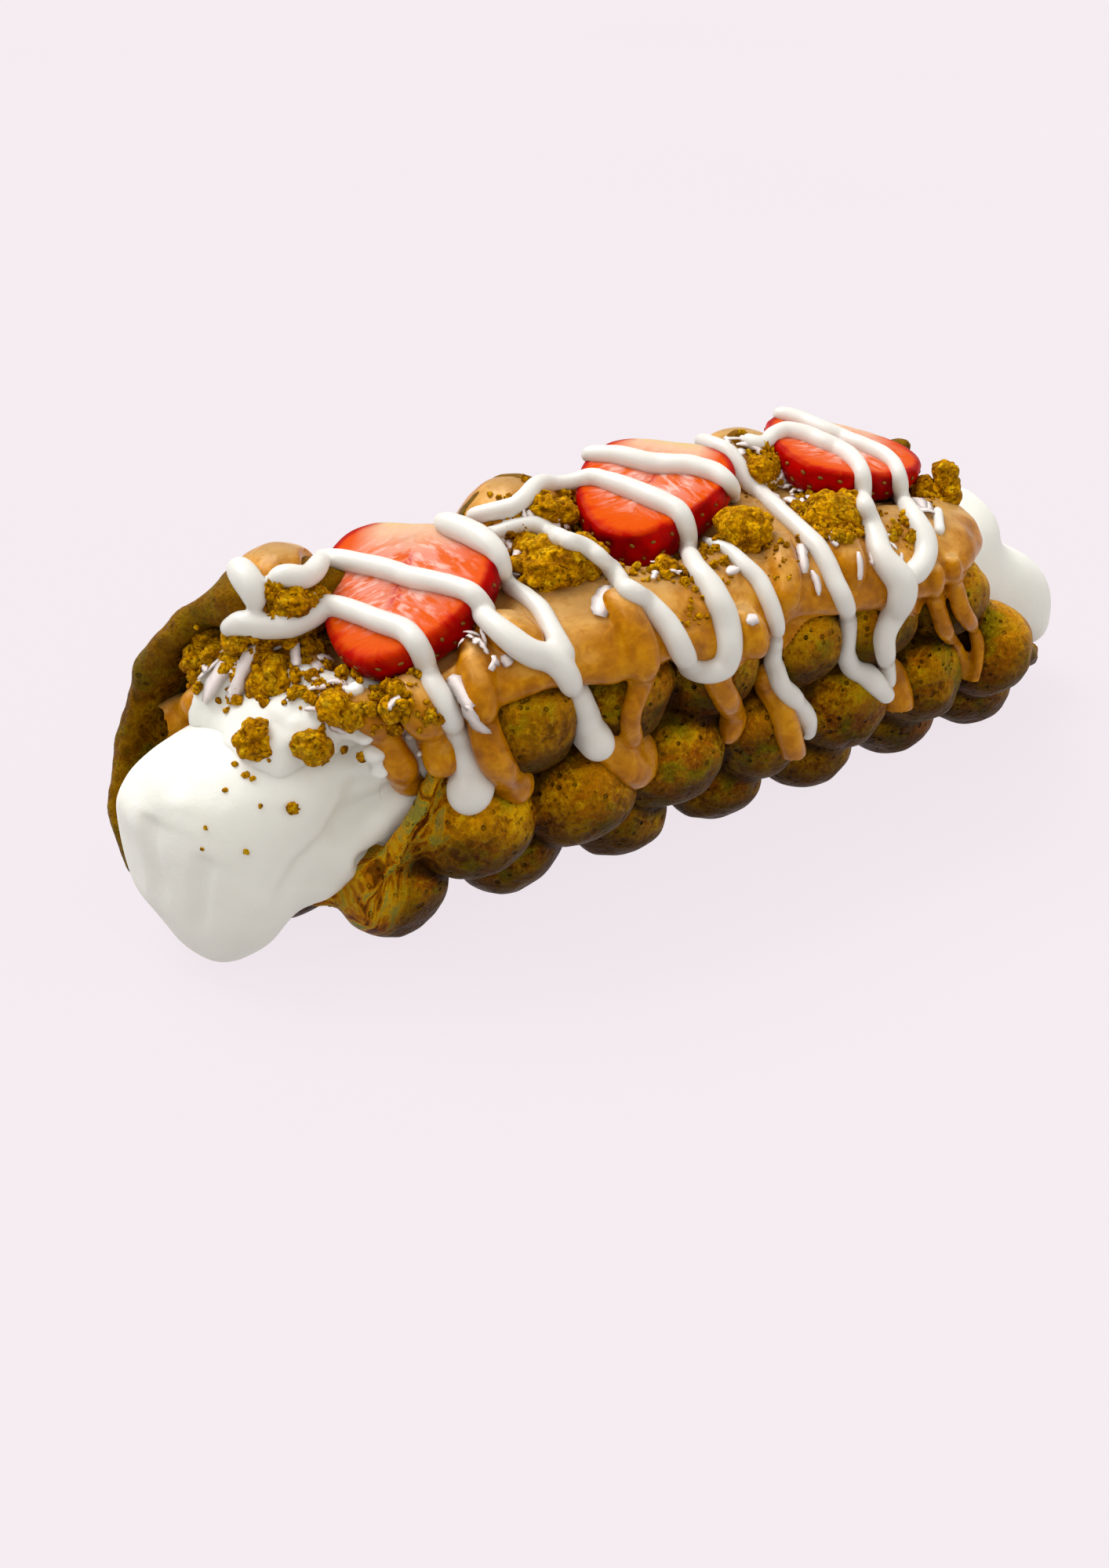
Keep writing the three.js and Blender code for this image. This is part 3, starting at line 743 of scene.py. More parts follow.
def waffle_field():
    """The sheet with torn ends, and its bubbles."""
    field = Field((-131, -40, -1.6), (94, 40, 80), 0.8)
    x, y, z = field.whole()
    b = np.linspace(*WEB_B, 285)
    ny, nz = outward(b)
    line_y, line_z = on_line(b)
    line_y, line_z = line_y + ny * WEB_MIDDLE, line_z + nz * WEB_MIDDLE
    off = np.hypot(y[0, :, 0][:, None, None] - line_y, z[0, 0, :][None, :, None] - line_z)
    off, at = off.min(2)[None], b[off.argmin(2)][None]
    spots = np.stack(np.broadcast_arrays(x, at, 0 * at), -1)
    half = WEB_THICK / 2 + 0.45 * NOISE(spots, 13)
    mouth = table(RIMS, 1, at) + 1.1 * NOISE(spots * [0, 1, 1], 9)
    far = table(RIMS, 2, at) + 1.3 * NOISE(spots * [0, 1, 1] + 40, 8)
    half = half + 0.8 * ease(1 - (x - mouth) / 14) * ease((-4 - at) / 12)
    past = np.maximum(np.maximum(mouth + half - x, x - far + half), 0)
    field.put(np.sqrt(off**2 + past**2) - half)
    # The torn lip has thin ribs that follow its edge.
    rib = ease(1 - (x - mouth) / 8) * ease(at / 8)
    layers = np.sin((x - mouth) * 1.6 + 3.2 * NOISE(spots, 6))
    field.d -= (0.9 * rib * layers * ease(2 - off / 3)).astype(np.float32)
    draw = np.random.default_rng(3)
    for row_b, start, pitch, count in ROWS:
        ny, nz = outward(row_b)
        for i in range(count):
            centre = on_sheet(start + i * pitch, row_b)
            radii = BUBBLE_R * draw.uniform(0.93, 1.06, 3)
            if (start, i) in FLATTER:
                centre, radii = FLATTER[start, i]
            axes = [(1, 0, 0), (0, ny, nz), (0, -nz, ny)]
            field.ball(centre, radii, 2.4, axes)
    # No bubble of the low side stands out past the mouth's rim.
    field.cut(np.where(at > 4, mouth - 0.4 - x, -1e3))
    field.cut(-z)
    return field


def make_waffle():
    """The sheet, with what its looks need stored at its points; the looks paint shade and
    highlight by valley, up and the arc.

    valley is how deep a point lies between bubbles, up how far it faces up, and lip is the
    distance from the mouth's rim, the place on the arc and the share of outer side.
    """
    points, faces = waffle_field().skin()
    normals = normals_of(points, faces)
    lift = rough(points, (9, 0.9), (4.6, 0.36), (2.3, 0.14))
    points = points + normals * (lift * ease(points[:, 2] / 2))[:, None]
    points[:, 2] = np.maximum(points[:, 2], 0)
    settled = points
    for _ in range(36):
        settled = relaxed(settled, faces, 0.8)
    out = normals_of(settled, faces)
    valley = ((settled - points) * out).sum(1) / 0.8
    up = normals_of(relaxed(points, faces, 1.0), faces)[:, 2]
    arc = arc_of(points)
    y, z = on_line(arc)
    outer = np.hypot(points[:, 1], points[:, 2] - AXIS_Z) - np.hypot(y, z - AXIS_Z)
    lip = np.stack([points[:, 0] - table(RIMS, 1, arc), arc, ease((outer + 1) / 2)], 1)
    layers = {"valley": valley, "lip": lip, "up": up}
    made = piece("waffle_crust", points, faces, waffle_looks(), "waffle", ["waffle"], **layers)
    return made, points, faces, lip[:, 2]


def close_off(made, points, faces, outer, tree, rays=5, reach=13.0):
    """Stores how much of the sky of each outer point of the sheet is shut off nearby, for painted
    shade in the crust.
    """
    draw = np.random.default_rng(11)
    out = normals_of(points, faces)
    starts = (points + 0.4 * out).tolist()
    share = np.zeros((len(points), 1))
    for _ in range(rays):
        way = draw.standard_normal(points.shape)
        way = out + 0.97 * way / np.linalg.norm(way, axis=1)[:, None]
        hits = (tree.ray_cast(start, aim, reach)[0] for start, aim in zip(starts, way.tolist()))
        share[:, 0] += np.fromiter((hit is not None for hit in hits), float, len(points))
    for _ in range(8):
        share = relaxed(share, faces, 0.8)
    store(made.data, "shut", share[:, 0] / rays * outer)


# --- cream ---


def rings_distance(rows, x, y, z):
    """Distance to a body through oval rings given in rising x."""
    inner = [table(rows, c, x) for c in range(1, 5)]
    mid_y, mid_z = (inner[0] + inner[1]) / 2, (inner[2] + inner[3]) / 2
    half_y, half_z = (inner[1] - inner[0]) / 2, (inner[3] - inner[2]) / 2
    across = np.abs((y - mid_y) / half_y) ** 2.5 + np.abs((z - mid_z) / half_z) ** 2.5
    side = (across**0.4 - 1) * np.minimum(half_y, half_z)
    return np.maximum(side, np.maximum(rows[0, 0] - x, x - rows[-1, 0]))


def to_line(points, line):
    """Distance of points to a line, the side of it the eye sees them on, and how far along."""
    best = np.full(len(points), 1e9)
    side, along = np.zeros(len(points)), np.zeros(len(points))
    for k, (a, b) in enumerate(zip(line[:-1], line[1:])):
        span = b - a
        t = np.clip((points - a) @ span / (span @ span), 0, 1)
        off = points - a - t[:, None] * span
        far = np.linalg.norm(off, axis=1)
        across = off @ np.cross(span, a - EYE_MM)
        side = np.where(far < best, np.sign(across), side)
        along = np.where(far < best, (k + t) / (len(line) - 1), along)
        best = np.minimum(best, far)
    return best, side, along


def make_cream():
    """The filling: a core inside the sheet, its two end lobes and their creases."""
    field = Field((-131, -30, -1), (99, 30, 66), 0.8)
    x, y, z = field.whole()
    top = np.minimum(CREAM_TOP, table(SPREAD, 4, x) - SPREAD_THICK)
    inner_y, inner_z = HALF_WIDTH - CREAM_GAP, HALF_HEIGHT - CREAM_GAP
    core = (np.hypot(y / inner_y, (z - AXIS_Z) / inner_z) - 1) * inner_y
    core = np.maximum(core, np.maximum(z - top, BOTTOM_Z + CREAM_GAP - z))
    field.put(np.maximum(core, np.maximum(CORE_X[0] - x, x - CORE_X[1])))
    for rows in (NEAR_LOBE[::-1], FAR_LOBE):
        field.put(smooth_min(field.d, rings_distance(rows, x, y, z), 3.0))
    for centre, radii in (FAR_PUFF, FOOT, *PRESSED):
        field.ball(centre, radii, 2.5)
    field.cut(CREAM_LOW - z)
    field.soften(6)
    points, faces = field.skin(2)
    tree = tree_of((points, faces))
    lift = rough(points, (13, 0.6), (6, 0.25))
    for marks, width, deep, step in CREASES:
        line = np.array([found[0] for found in (seen(tree, *mark) for mark in marks) if found])
        far, side, along = to_line(points, line)
        fade = ease((1 - along) / 0.45) * ease(along / 0.12)
        lift -= deep * np.exp(-((far / width) ** 2)) * fade
        lift -= step * (side > 0) * np.exp(-((far / (4 * width)) ** 2)) * ease(far / width) * fade
    points = points + normals_of(points, faces) * lift[:, None]
    points[:, 2] = np.maximum(points[:, 2], CREAM_LOW)
    piece("cream_filling", points, faces, CREAM_LOOKS, "cream", ["cream"])
    return points, faces


# --- spread ---


def ring_at(x):
    """The outline (y, z) of the spread's sheet at x."""
    edge_y, edge_z, shoulder_y, lip_z, wall_z = (table(SPREAD, c, x) for c in range(1, 6))
    under = min(CREAM_TOP, lip_z - SPREAD_THICK) - 1.0
    return np.array(
        [
            (edge_y + 2.5, edge_z - 1),
            (edge_y - 0.2, edge_z + 0.6),
            (edge_y - 0.6, edge_z + 0.3 * (lip_z - edge_z)),
            (edge_y + 0.45 * (shoulder_y - edge_y), edge_z + 0.78 * (lip_z - edge_z)),
            (shoulder_y, lip_z),
            (shoulder_y * 0.55, (lip_z + wall_z) / 2 + 0.8),
            (0, wall_z + 0.2),
            (SPREAD_FAR_Y, wall_z),
            (SPREAD_FAR_Y, under),
            (shoulder_y * 0.5, under),
            (edge_y + 7, edge_z + 0.5),
        ]
    )


def outline_distance(ring, y, z):
    """Signed distance of grid points to a closed outline."""
    best, odd = np.full(np.broadcast(y, z).shape, 1e9), False
    for (y0, z0), (y1, z1) in zip(ring, np.roll(ring, -1, axis=0)):
        dy, dz = y1 - y0, z1 - z0
        t = np.clip(((y - y0) * dy + (z - z0) * dz) / (dy * dy + dz * dz + 1e-9), 0, 1)
        best = np.minimum(best, (y - y0 - t * dy) ** 2 + (z - z0 - t * dz) ** 2)
        crosses = (z0 <= z) != (z1 <= z)
        odd = odd ^ (crosses & (y < y0 + (z - z0) * dy / (dz if abs(dz) > 1e-9 else 1e-9)))
    return np.where(odd, -1, 1) * np.sqrt(best)


def smoothed(values, width):
    """Values along a run, averaged over width samples either way."""
    kernel = np.hanning(2 * width + 3)[1:-1]
    padded = np.pad(values, width, mode="edge")
    return np.convolve(padded, kernel / kernel.sum(), mode="valid")


def strand_on(tree, marks, rise=0.45):
    """A strand over a surface through points of the picture with a radius at each.

    rise is how far its middle stands off the surface, as a share of the radius.
    """
    marks = np.array(marks, float)
    lengths = np.linalg.norm(np.diff(marks[:, :2], axis=0), axis=1)
    places = np.concatenate([[0], np.cumsum(lengths)])
    at = np.linspace(0, places[-1], max(5, int(places[-1] / STRAND_STEP)))
    path = np.stack([smoothed(np.interp(at, places, marks[:, i]), 3) for i in range(3)], 1)
    laid = []
    for column, row, radius in path:
        found = seen(tree, column, row)
        if found:
            laid.append([*(found[0] + found[1] * radius * rise), radius])
    laid = np.stack([smoothed(values, 2) for values in np.array(laid).T], 1)
    return laid[:, :3], laid[:, 3]


STRAND_STEP = 3.0  # between the places of a strand, in pixels of the picture
THIN = 1.3  # strands of a smaller radius are laid higher and sharper
# How thick the spread is on the rows of bubbles that it coats.
COATED = {SIDE_ROW: 0.9, LIP_ROW: 0.4}
FLATTER_COAT = ((1.5, 0, 1), 9.4)  # on a flatter bubble: how far it is shifted, and its radius
# Its lower edge on them: one height at the back, and along X on the low side.
COAT_LOW_BACK = 66.0
BAND_EDGE = np.array([
    (-100, 50), (-70, 60), (-62, 57.5), (-55, 55.2), (-47, 54), (-42, 51.5), (-37, 49.3),
    (-29, 46.5), (-23, 44.5), (-18, 48), (-9, 45), (-3, 51), (3, 54), (10, 50.6), (19, 46),
    (27, 44), (36, 47), (41, 54), (46, 58),
])
# Drips and lobes of spread: points of the picture with the radius there.
DRIPS = [
    [(783, 766, 1.4), (802, 791, 1.4), (815, 821, 1.4), (820, 849, 1.3), (816, 877, 1.0),
     (804, 907, 0.7), (803, 932, 0.7), (810, 960, 1.5), (808, 982, 2.2)],
    [(764, 938, 1.5), (778, 960, 2.0), (806, 984, 2.5), (815, 965, 1.8), (816, 946, 1.5)],
    [(903, 852, 1.6), (926, 888, 1.4), (935, 916, 1.4), (927, 938, 1.6)],
    [(600, 800, 0.9), (604, 838, 1.2), (608, 870, 1.2), (613, 905, 1.2), (622, 945, 1.5),
     (640, 980, 2.1), (656, 1004, 2.5)],
    [(974, 853, 1.3), (985, 880, 1.4), (998, 912, 1.4), (1006, 945, 1.6), (1016, 970, 2.2)],
    [(1128, 850, 1.9), (1140, 875, 2.4), (1146, 900, 2.4), (1141, 920, 2.2)],
    [(452, 890, 1.3), (467, 908, 1.4), (484, 930, 1.4), (498, 955, 1.4), (512, 982, 1.5),
     (526, 1000, 1.5)],
    [(505, 862, 1.8), (530, 898, 2.0), (550, 930, 2.1), (566, 958, 2.0), (566, 976, 1.7)],
    [(200, 922, 1.4), (218, 914, 2.2), (238, 906, 2.2), (256, 894, 1.6)],
    [(626, 800, 1.8), (655, 808, 2.2), (676, 822, 1.6)],
    [(946, 785, 1.6), (956, 808, 2.0), (962, 830, 1.4)],
    [(990, 690, 1.8), (998, 715, 1.8), (1003, 745, 1.4), (1004, 768, 1.0)],
    [(1072, 690, 1.6), (1080, 715, 1.9), (1086, 738, 1.2)],
    [(1189, 725, 1.1), (1193, 770, 1.1), (1203, 800, 1.15), (1218, 826, 1.15), (1229, 850, 1.2),
     (1233, 874, 1.1)],
    [(1211, 715, 1.1), (1217, 750, 1.1), (1224, 775, 1.2), (1240, 800, 1.25), (1249, 825, 1.2),
     (1248, 850, 1.2), (1239, 874, 1.2), (1234, 882, 1.1)],
]
# White topping over the mound: middles and radii.
WHITE = [
    ((-100, 8, 48.0), (9.6, 9.5, 8)),
    ((-106, 8, 43.5), (6, 8, 6.5)),
    ((-104, -4, 41), (7, 11, 6.6)),
    ((-97, -6, 46), (9, 11, 6.6)),
    ((-90, -12, 48), (8, 6, 6.5)),
]
# Dabs of it on the spread, by their place in the picture and radius.
WHITE_SPOTS = [
    (372, 868, 2.6), (392, 862, 2.4), (410, 874, 2.6), (424, 892, 2.2), (398, 892, 2.6),
    (440, 908, 1.7), (452, 880, 1.5), (476, 872, 1.4), (505, 884, 1.3), (515, 900, 1.0),
    (466, 940, 1.8), (476, 960, 2.3), (487, 982, 2.2), (448, 932, 2.0), (522, 938, 1.2),
    (536, 960, 1.0),
]
# Middles and radii of the mound of topping inside the open mouth.
MOUND = [((-99, 9, 47.5), (9.5, 9, 8)), ((-105, 11, 46), (5.5, 7, 8)), ((-91, 3, 52), (9, 10, 7))]


def hollow(field, gap, left):
    """Takes the slices, grown by gap but for the lowest left of them, out of a field."""
    for centre, width, length, thick, heading, lean_y, lean_x, swell in BERRIES:
        matrix = turned(centre, lean_y, lean_x, heading)
        along, across = heart(width, length, swell, np.linspace(-np.pi, np.pi, 181))
        at, grids = field.window(np.array(centre) - 24, np.array(centre) + 24)
        off = [grid - c for grid, c in zip(grids, centre)]
        u, v, w = (sum(off[i] * matrix[i, k] for i in range(3)) for k in range(3))
        order = np.argsort(np.arctan2(across, along))
        reach = np.hypot(along, across)[order]
        reach = np.interp(np.arctan2(v, u), np.arctan2(across, along)[order], reach)
        reach = reach * np.interp(-w / thick, -SLICE[5:, 1], SLICE[5:, 0])
        body = np.maximum(np.hypot(u, v) - reach - gap, left - thick - w)
        field.d[at] = np.maximum(field.d[at], -body)


def make_spread(base):
    """The coat over the cream, the mound in the mouth, the coated bubbles and the drips."""
    field = Field((-114, -46, 20), (60, 24, 78), 0.7)
    x, y, z = field.whole()
    for i, at in enumerate(field.axes[0]):
        field.d[i] = outline_distance(ring_at(at), y[0], z[0]) - 0.4
    field.cut(np.maximum(SPREAD_X[0] - x, x - SPREAD_X[1]))
    for centre, radii in MOUND:
        field.ball(centre, radii, 3.0)
    hollow(field, 3.2, 1.5)
    field.soften(5)
    for b, start, pitch, count in ROWS:
        for i in range(count if b in COATED else 0):
            centre, radius = on_sheet(start + i * pitch, b), BUBBLE_R + COATED[b]
            if (start, i) in FLATTER:
                centre, radius = np.add(FLATTER[start, i][0], FLATTER_COAT[0]), FLATTER_COAT[1]

            def coat(x, y, z):
                r = np.sqrt(sum((g - c) ** 2 for g, c in zip((x, y, z), centre)))
                low = table(BAND_EDGE, 1, x) if b > 0 else COAT_LOW_BACK
                return np.maximum(r - radius, low - z)

            field.join(centre - 13, centre + 13, coat, 2.2)
    ground = tree_of(*base, field.skin())
    for marks in DRIPS:
        thin = max(mark[2] for mark in marks) < THIN
        field.rope(*strand_on(ground, marks, 0.4 if thin else 0.15), 1.0 if thin else 2.4)
    hollow(field, 0.2, -0.2)
    points, faces = field.skin()
    points = roughened(points, faces, (10, 0.6), (4, 0.3))
    # up drives the spread's painted highlight on faces that point up.
    up = normals_of(points, faces)[:, 2]
    looks, node = spread_looks(), "biscuit_spread"
    piece("biscuit_spread_coat", points, faces, looks, "spread", [node], up=up)
    return points, faces


# --- strawberries ---

# Cut face centre, width, length, thickness, heading of the tip, lean to -Y and to -X, and
# how the outline swells twice and three times round.
BERRIES = [
    ((-76.5, -6.7, 67), 32.4, 34.9, 10.5, 228, 12.6, 22.3, (-0.016, 0.022, 0.028, -0.036)),
    ((-20.4, -2.4, 73.3), 30.5, 34.9, 12, 221, 11, 6.4, (0.056, -0.049, 0.027, 0.01)),
    ((27.9, -2.7, 71.5), 32, 35, 9, 231, 7.9, -8.7, (-0.066, -0.019, -0.004, -0.065)),
]
# How far the flesh reaches down each slice's tip, in stations of SLICE.
TIP_FLESH = (1.9, 0.3, 0.9)
# Outline scale and height, as shares of the size and the thickness, from the face down.
SLICE = np.array([
    (0.0, 0.0), (0.5, 0.01), (0.9, 0.0), (0.955, -0.012), (0.985, -0.05), (1.0, -0.14),
    (0.995, -0.32), (0.97, -0.5), (0.91, -0.68), (0.8, -0.85), (0.62, -0.96), (0.3, -1.0),
    (0.0, -1.0),
])


def turned(centre, lean_y, lean_x, heading):
    """Matrix from a slice's own frame to the roll's."""
    a, b, c = (math.radians(v) for v in (lean_y, -lean_x, heading))
    made = Matrix.Translation(centre) @ Matrix.Rotation(a, 4, "X")
    return np.array(made @ Matrix.Rotation(b, 4, "Y") @ Matrix.Rotation(c, 4, "Z"))


def moved(matrix, points):
    """Points of a slice's own frame in the roll's."""
    return points @ matrix[:3, :3].T + matrix[:3, 3]


def heart(width, length, swell, angle):
    """Heart outline (along, across) with its tip at angle 0."""
    c, s = np.cos(angle), np.sin(angle)
    c2, s2, c3, s3 = swell
    grown = 1 + c2 * np.cos(2 * angle) + s2 * np.sin(2 * angle)
    grown = grown + c3 * np.cos(3 * angle) + s3 * np.sin(3 * angle)
    dent = np.exp(-(((np.pi - np.abs(angle)) / 0.45) ** 2))
    along = length / 2 * (c * (1 + 0.06 * np.maximum(0, c) ** 3) + 0.1 * dent)
    across = width / 2 * np.sign(s) * np.abs(s) ** 0.9 * (1 - 0.16 * c)
    return along * grown, across * grown


def make_berry(i, centre, width, length, thick, heading, lean_y, lean_x, swell, sides=300):
    """A slice, and the places and directions of its seeds.

    slice_at is the place along and across the slice and the share of skin; rim is 1 at the
    edge of the cut face and 0 at its middle.
    """
    matrix = turned(centre, lean_y, lean_x, heading)
    angle = np.linspace(-np.pi, np.pi, sides, endpoint=False)
    run = np.concatenate([[0], np.cumsum(np.hypot(*np.diff(SLICE * [16, thick], axis=0).T))])
    at = np.linspace(0, run[-1], 110)
    scale = smoothed(np.interp(at, run, SLICE[:, 0]), 2)
    drop = smoothed(np.interp(at, run, SLICE[:, 1]), 2) * thick
    along, across = heart(width, length, swell, angle)
    ring = np.stack([3 * np.cos(angle), 3 * np.sin(angle), angle * 0 + 9 * i], 1)
    waver = 1 + 0.018 * NOISE(ring, 1)
    shares = scale[:, None]
    grid = np.stack(
        [shares * along * waver, shares * across * waver, drop[:, None] + 0 * angle], -1
    )
    # At the tip the flesh shows further down below the cut face's edge.
    low = TIP_FLESH[i] * ease((along / length * 2 - 0.1) / 0.5)
    skin = ease((np.interp(at, run, np.arange(len(SLICE)))[:, None] - 3.0 - low) / 0.9)
    flat = grid.reshape(-1, 3)
    u, v = flat[:, 0] / (length / 2), flat[:, 1] / (width / 2)
    on_face = 1 - skin.ravel()
    core = np.exp(-((v / 0.14) ** 2)) * ease((0.45 - u) / 0.3) * ease((u + 0.75) / 0.3)
    ray = NOISE(np.stack([(u - 0.6 * np.abs(v)) * 5, np.abs(v) * 1.3, np.sign(v) + 5 * i], 1), 1)
    lift = on_face * (0.15 * ray * ease(np.abs(v) / 0.2) - 0.45 * core)
    lift += 0.12 * rough(flat, (2.5, 1.0))
    rows, cols = grid.shape[:2]
    index = np.arange(rows * cols).reshape(rows, cols)
    after = np.roll(index, -1, axis=1)
    faces = np.stack([index[:-1], index[1:], after[1:], after[:-1]], -1).reshape(-1, 4)
    normals = normals_of(flat, faces)
    if normals[index[2, 0], 2] < 0:
        faces, normals = faces[:, ::-1], -normals
    seeds = seed_places(grid, scale, drop, thick, width)
    for place in seeds:
        near = np.linalg.norm(flat - place, axis=1)
        lift -= 0.35 * np.exp(-((near / 0.75) ** 2)) * skin.ravel()
    points = moved(matrix, flat + normals * lift[:, None])
    layers = {"slice_at": np.stack([u, v, skin.ravel()], 1), "rim": np.repeat(scale, sides)}
    name, node = f"strawberry_slice_{i + 1}", f"strawberry_{i + 1}"
    piece(name, points, faces, BERRY_LOOKS, "strawberry", [node], **layers)
    outs = [normals[np.linalg.norm(flat - p, axis=1).argmin()] for p in seeds]
    sown = [(moved(matrix, p - 0.12 * n), matrix[:3, :3] @ n) for p, n in zip(seeds, outs)]
    return points, faces, sown


def seed_places(grid, scale, drop, thick, width):
    """Points of the skin where seeds sit, in staggered rows."""
    places = []
    count = int(2.9 * width / 3.8)
    for row, share in enumerate((0.2, 0.48, 0.74)):
        level = int(np.argmax((drop < -share * thick) & (scale > 0.5)))
        for k in range(count):
            a = int((k + 0.5 * (row % 2)) / count * grid.shape[1]) % grid.shape[1]
            places.append(grid[level, a])
    return places


def ball_mesh(times):
    """Unit sphere from an icosahedron split a few times."""
    g = (1 + 5**0.5) / 2
    points = [(-1, g, 0), (1, g, 0), (-1, -g, 0), (1, -g, 0), (0, -1, g), (0, 1, g)]
    points += [(0, -1, -g), (0, 1, -g), (g, 0, -1), (g, 0, 1), (-g, 0, -1), (-g, 0, 1)]
    faces = "0 11 5 0 5 1 0 1 7 0 7 10 0 10 11 1 5 9 5 11 4 11 10 2 10 7 6 7 1 8 "
    faces += "3 9 4 3 4 2 3 2 6 3 6 8 3 8 9 4 9 5 2 4 11 6 2 10 8 6 7 9 8 1"
    faces = np.array(faces.split(), int).reshape(-1, 3)
    points = np.array(points, float)
    for _ in range(times):
        mids, made = {}, []
        points = list(points)
        for face in faces:
            mid = []
            for a, b in zip(face, np.roll(face, -1)):
                key = (min(a, b), max(a, b))
                if key not in mids:
                    mids[key] = len(points)
                    points.append((np.array(points[a]) + np.array(points[b])) / 2)
                mid.append(mids[key])
            a, b, c = face
            made += [(a, mid[0], mid[2]), (mid[0], b, mid[1]), (mid[2], mid[1], c), tuple(mid)]
        faces = np.array(made)
        points = np.array(points, float)
    return points / np.linalg.norm(points, axis=1)[:, None], faces


BALLS = {times: ball_mesh(times) for times in (1, 2)}


def facing(out, spin):
    """Rotation whose third column is out, turned round it by spin."""
    out = np.asarray(out, float) / np.linalg.norm(out)
    side = np.cross((0.3, 0.2, 1) if abs(out[2]) < 0.9 else (1, 0.2, 0), out)
    side /= np.linalg.norm(side)
    other = np.cross(out, side)
    c, s = math.cos(spin), math.sin(spin)
    return np.stack([c * side + s * other, c * other - s * side, out], 1)


def make_berries():
    """The slices, with seeds on their skin."""
    meshes, seeds = [], []
    ball, ball_faces = BALLS[1]
    draw = np.random.default_rng(5)
    for i, berry in enumerate(BERRIES):
        points, faces, sown = make_berry(i, *berry)
        meshes.append((points, faces))
        for place, out in sown:
            turn = facing(out, 0.4 * draw.standard_normal())
            seeds.append(((ball * [0.6, 0.38, 0.25]) @ turn.T + place, ball_faces))
    piece("strawberry_seeds", *joined(seeds), seed_looks(), "strawberry")
    return meshes


# --- biscuit pieces ---

CHUNKS = 4

def crumbly(centre, radii, seed, step=0.45, grain=(0.55, 1.6), count=230):
    """A lump of packed crumbs with radii in the range grain."""
    draw = np.random.default_rng(seed)
    centre, radii = np.array(centre, float), np.array(radii, float)
    reach = radii.max() + 2.5
    field = Field(centre - reach, centre + reach, step)
    field.ball(centre, radii * 0.84, 0.5)
    for _ in range(count):
        way = draw.standard_normal(3)
        way /= np.linalg.norm(way)
        place = centre + way * radii * draw.uniform(0.78, 0.98)
        field.ball(place, draw.uniform(*grain) * draw.uniform(0.8, 1.2, 3), 0.35)
    points, faces = field.skin()
    return roughened(points, faces, (3.2, 0.4), (0.9, 0.28)), faces


def small_lump(centre, radii, seed, largest=1.2):
    """A lump of fewer and finer crumbs."""
    return crumbly(centre, radii, seed, 0.4, (0.5, largest), 90)


def make_chunks():
    """The large lumps, each as big as its node."""
    meshes = []
    for i in range(CHUNKS):
        name = f"biscuit_chunk_{i + 1}"
        low, high = (np.array(v) * 1000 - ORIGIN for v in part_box(name))
        middle, size = (low + high) / 2, (high - low) / 2
        points, faces = crumbly(middle, size * [0.98, 0.98, 0.96], 20 + i)
        piece(f"biscuit_piece_{i + 1}", points, faces, BISCUIT_LOOKS, "biscuit", [name])
        meshes.append((points, faces))
    return meshes


# --- drizzle ---

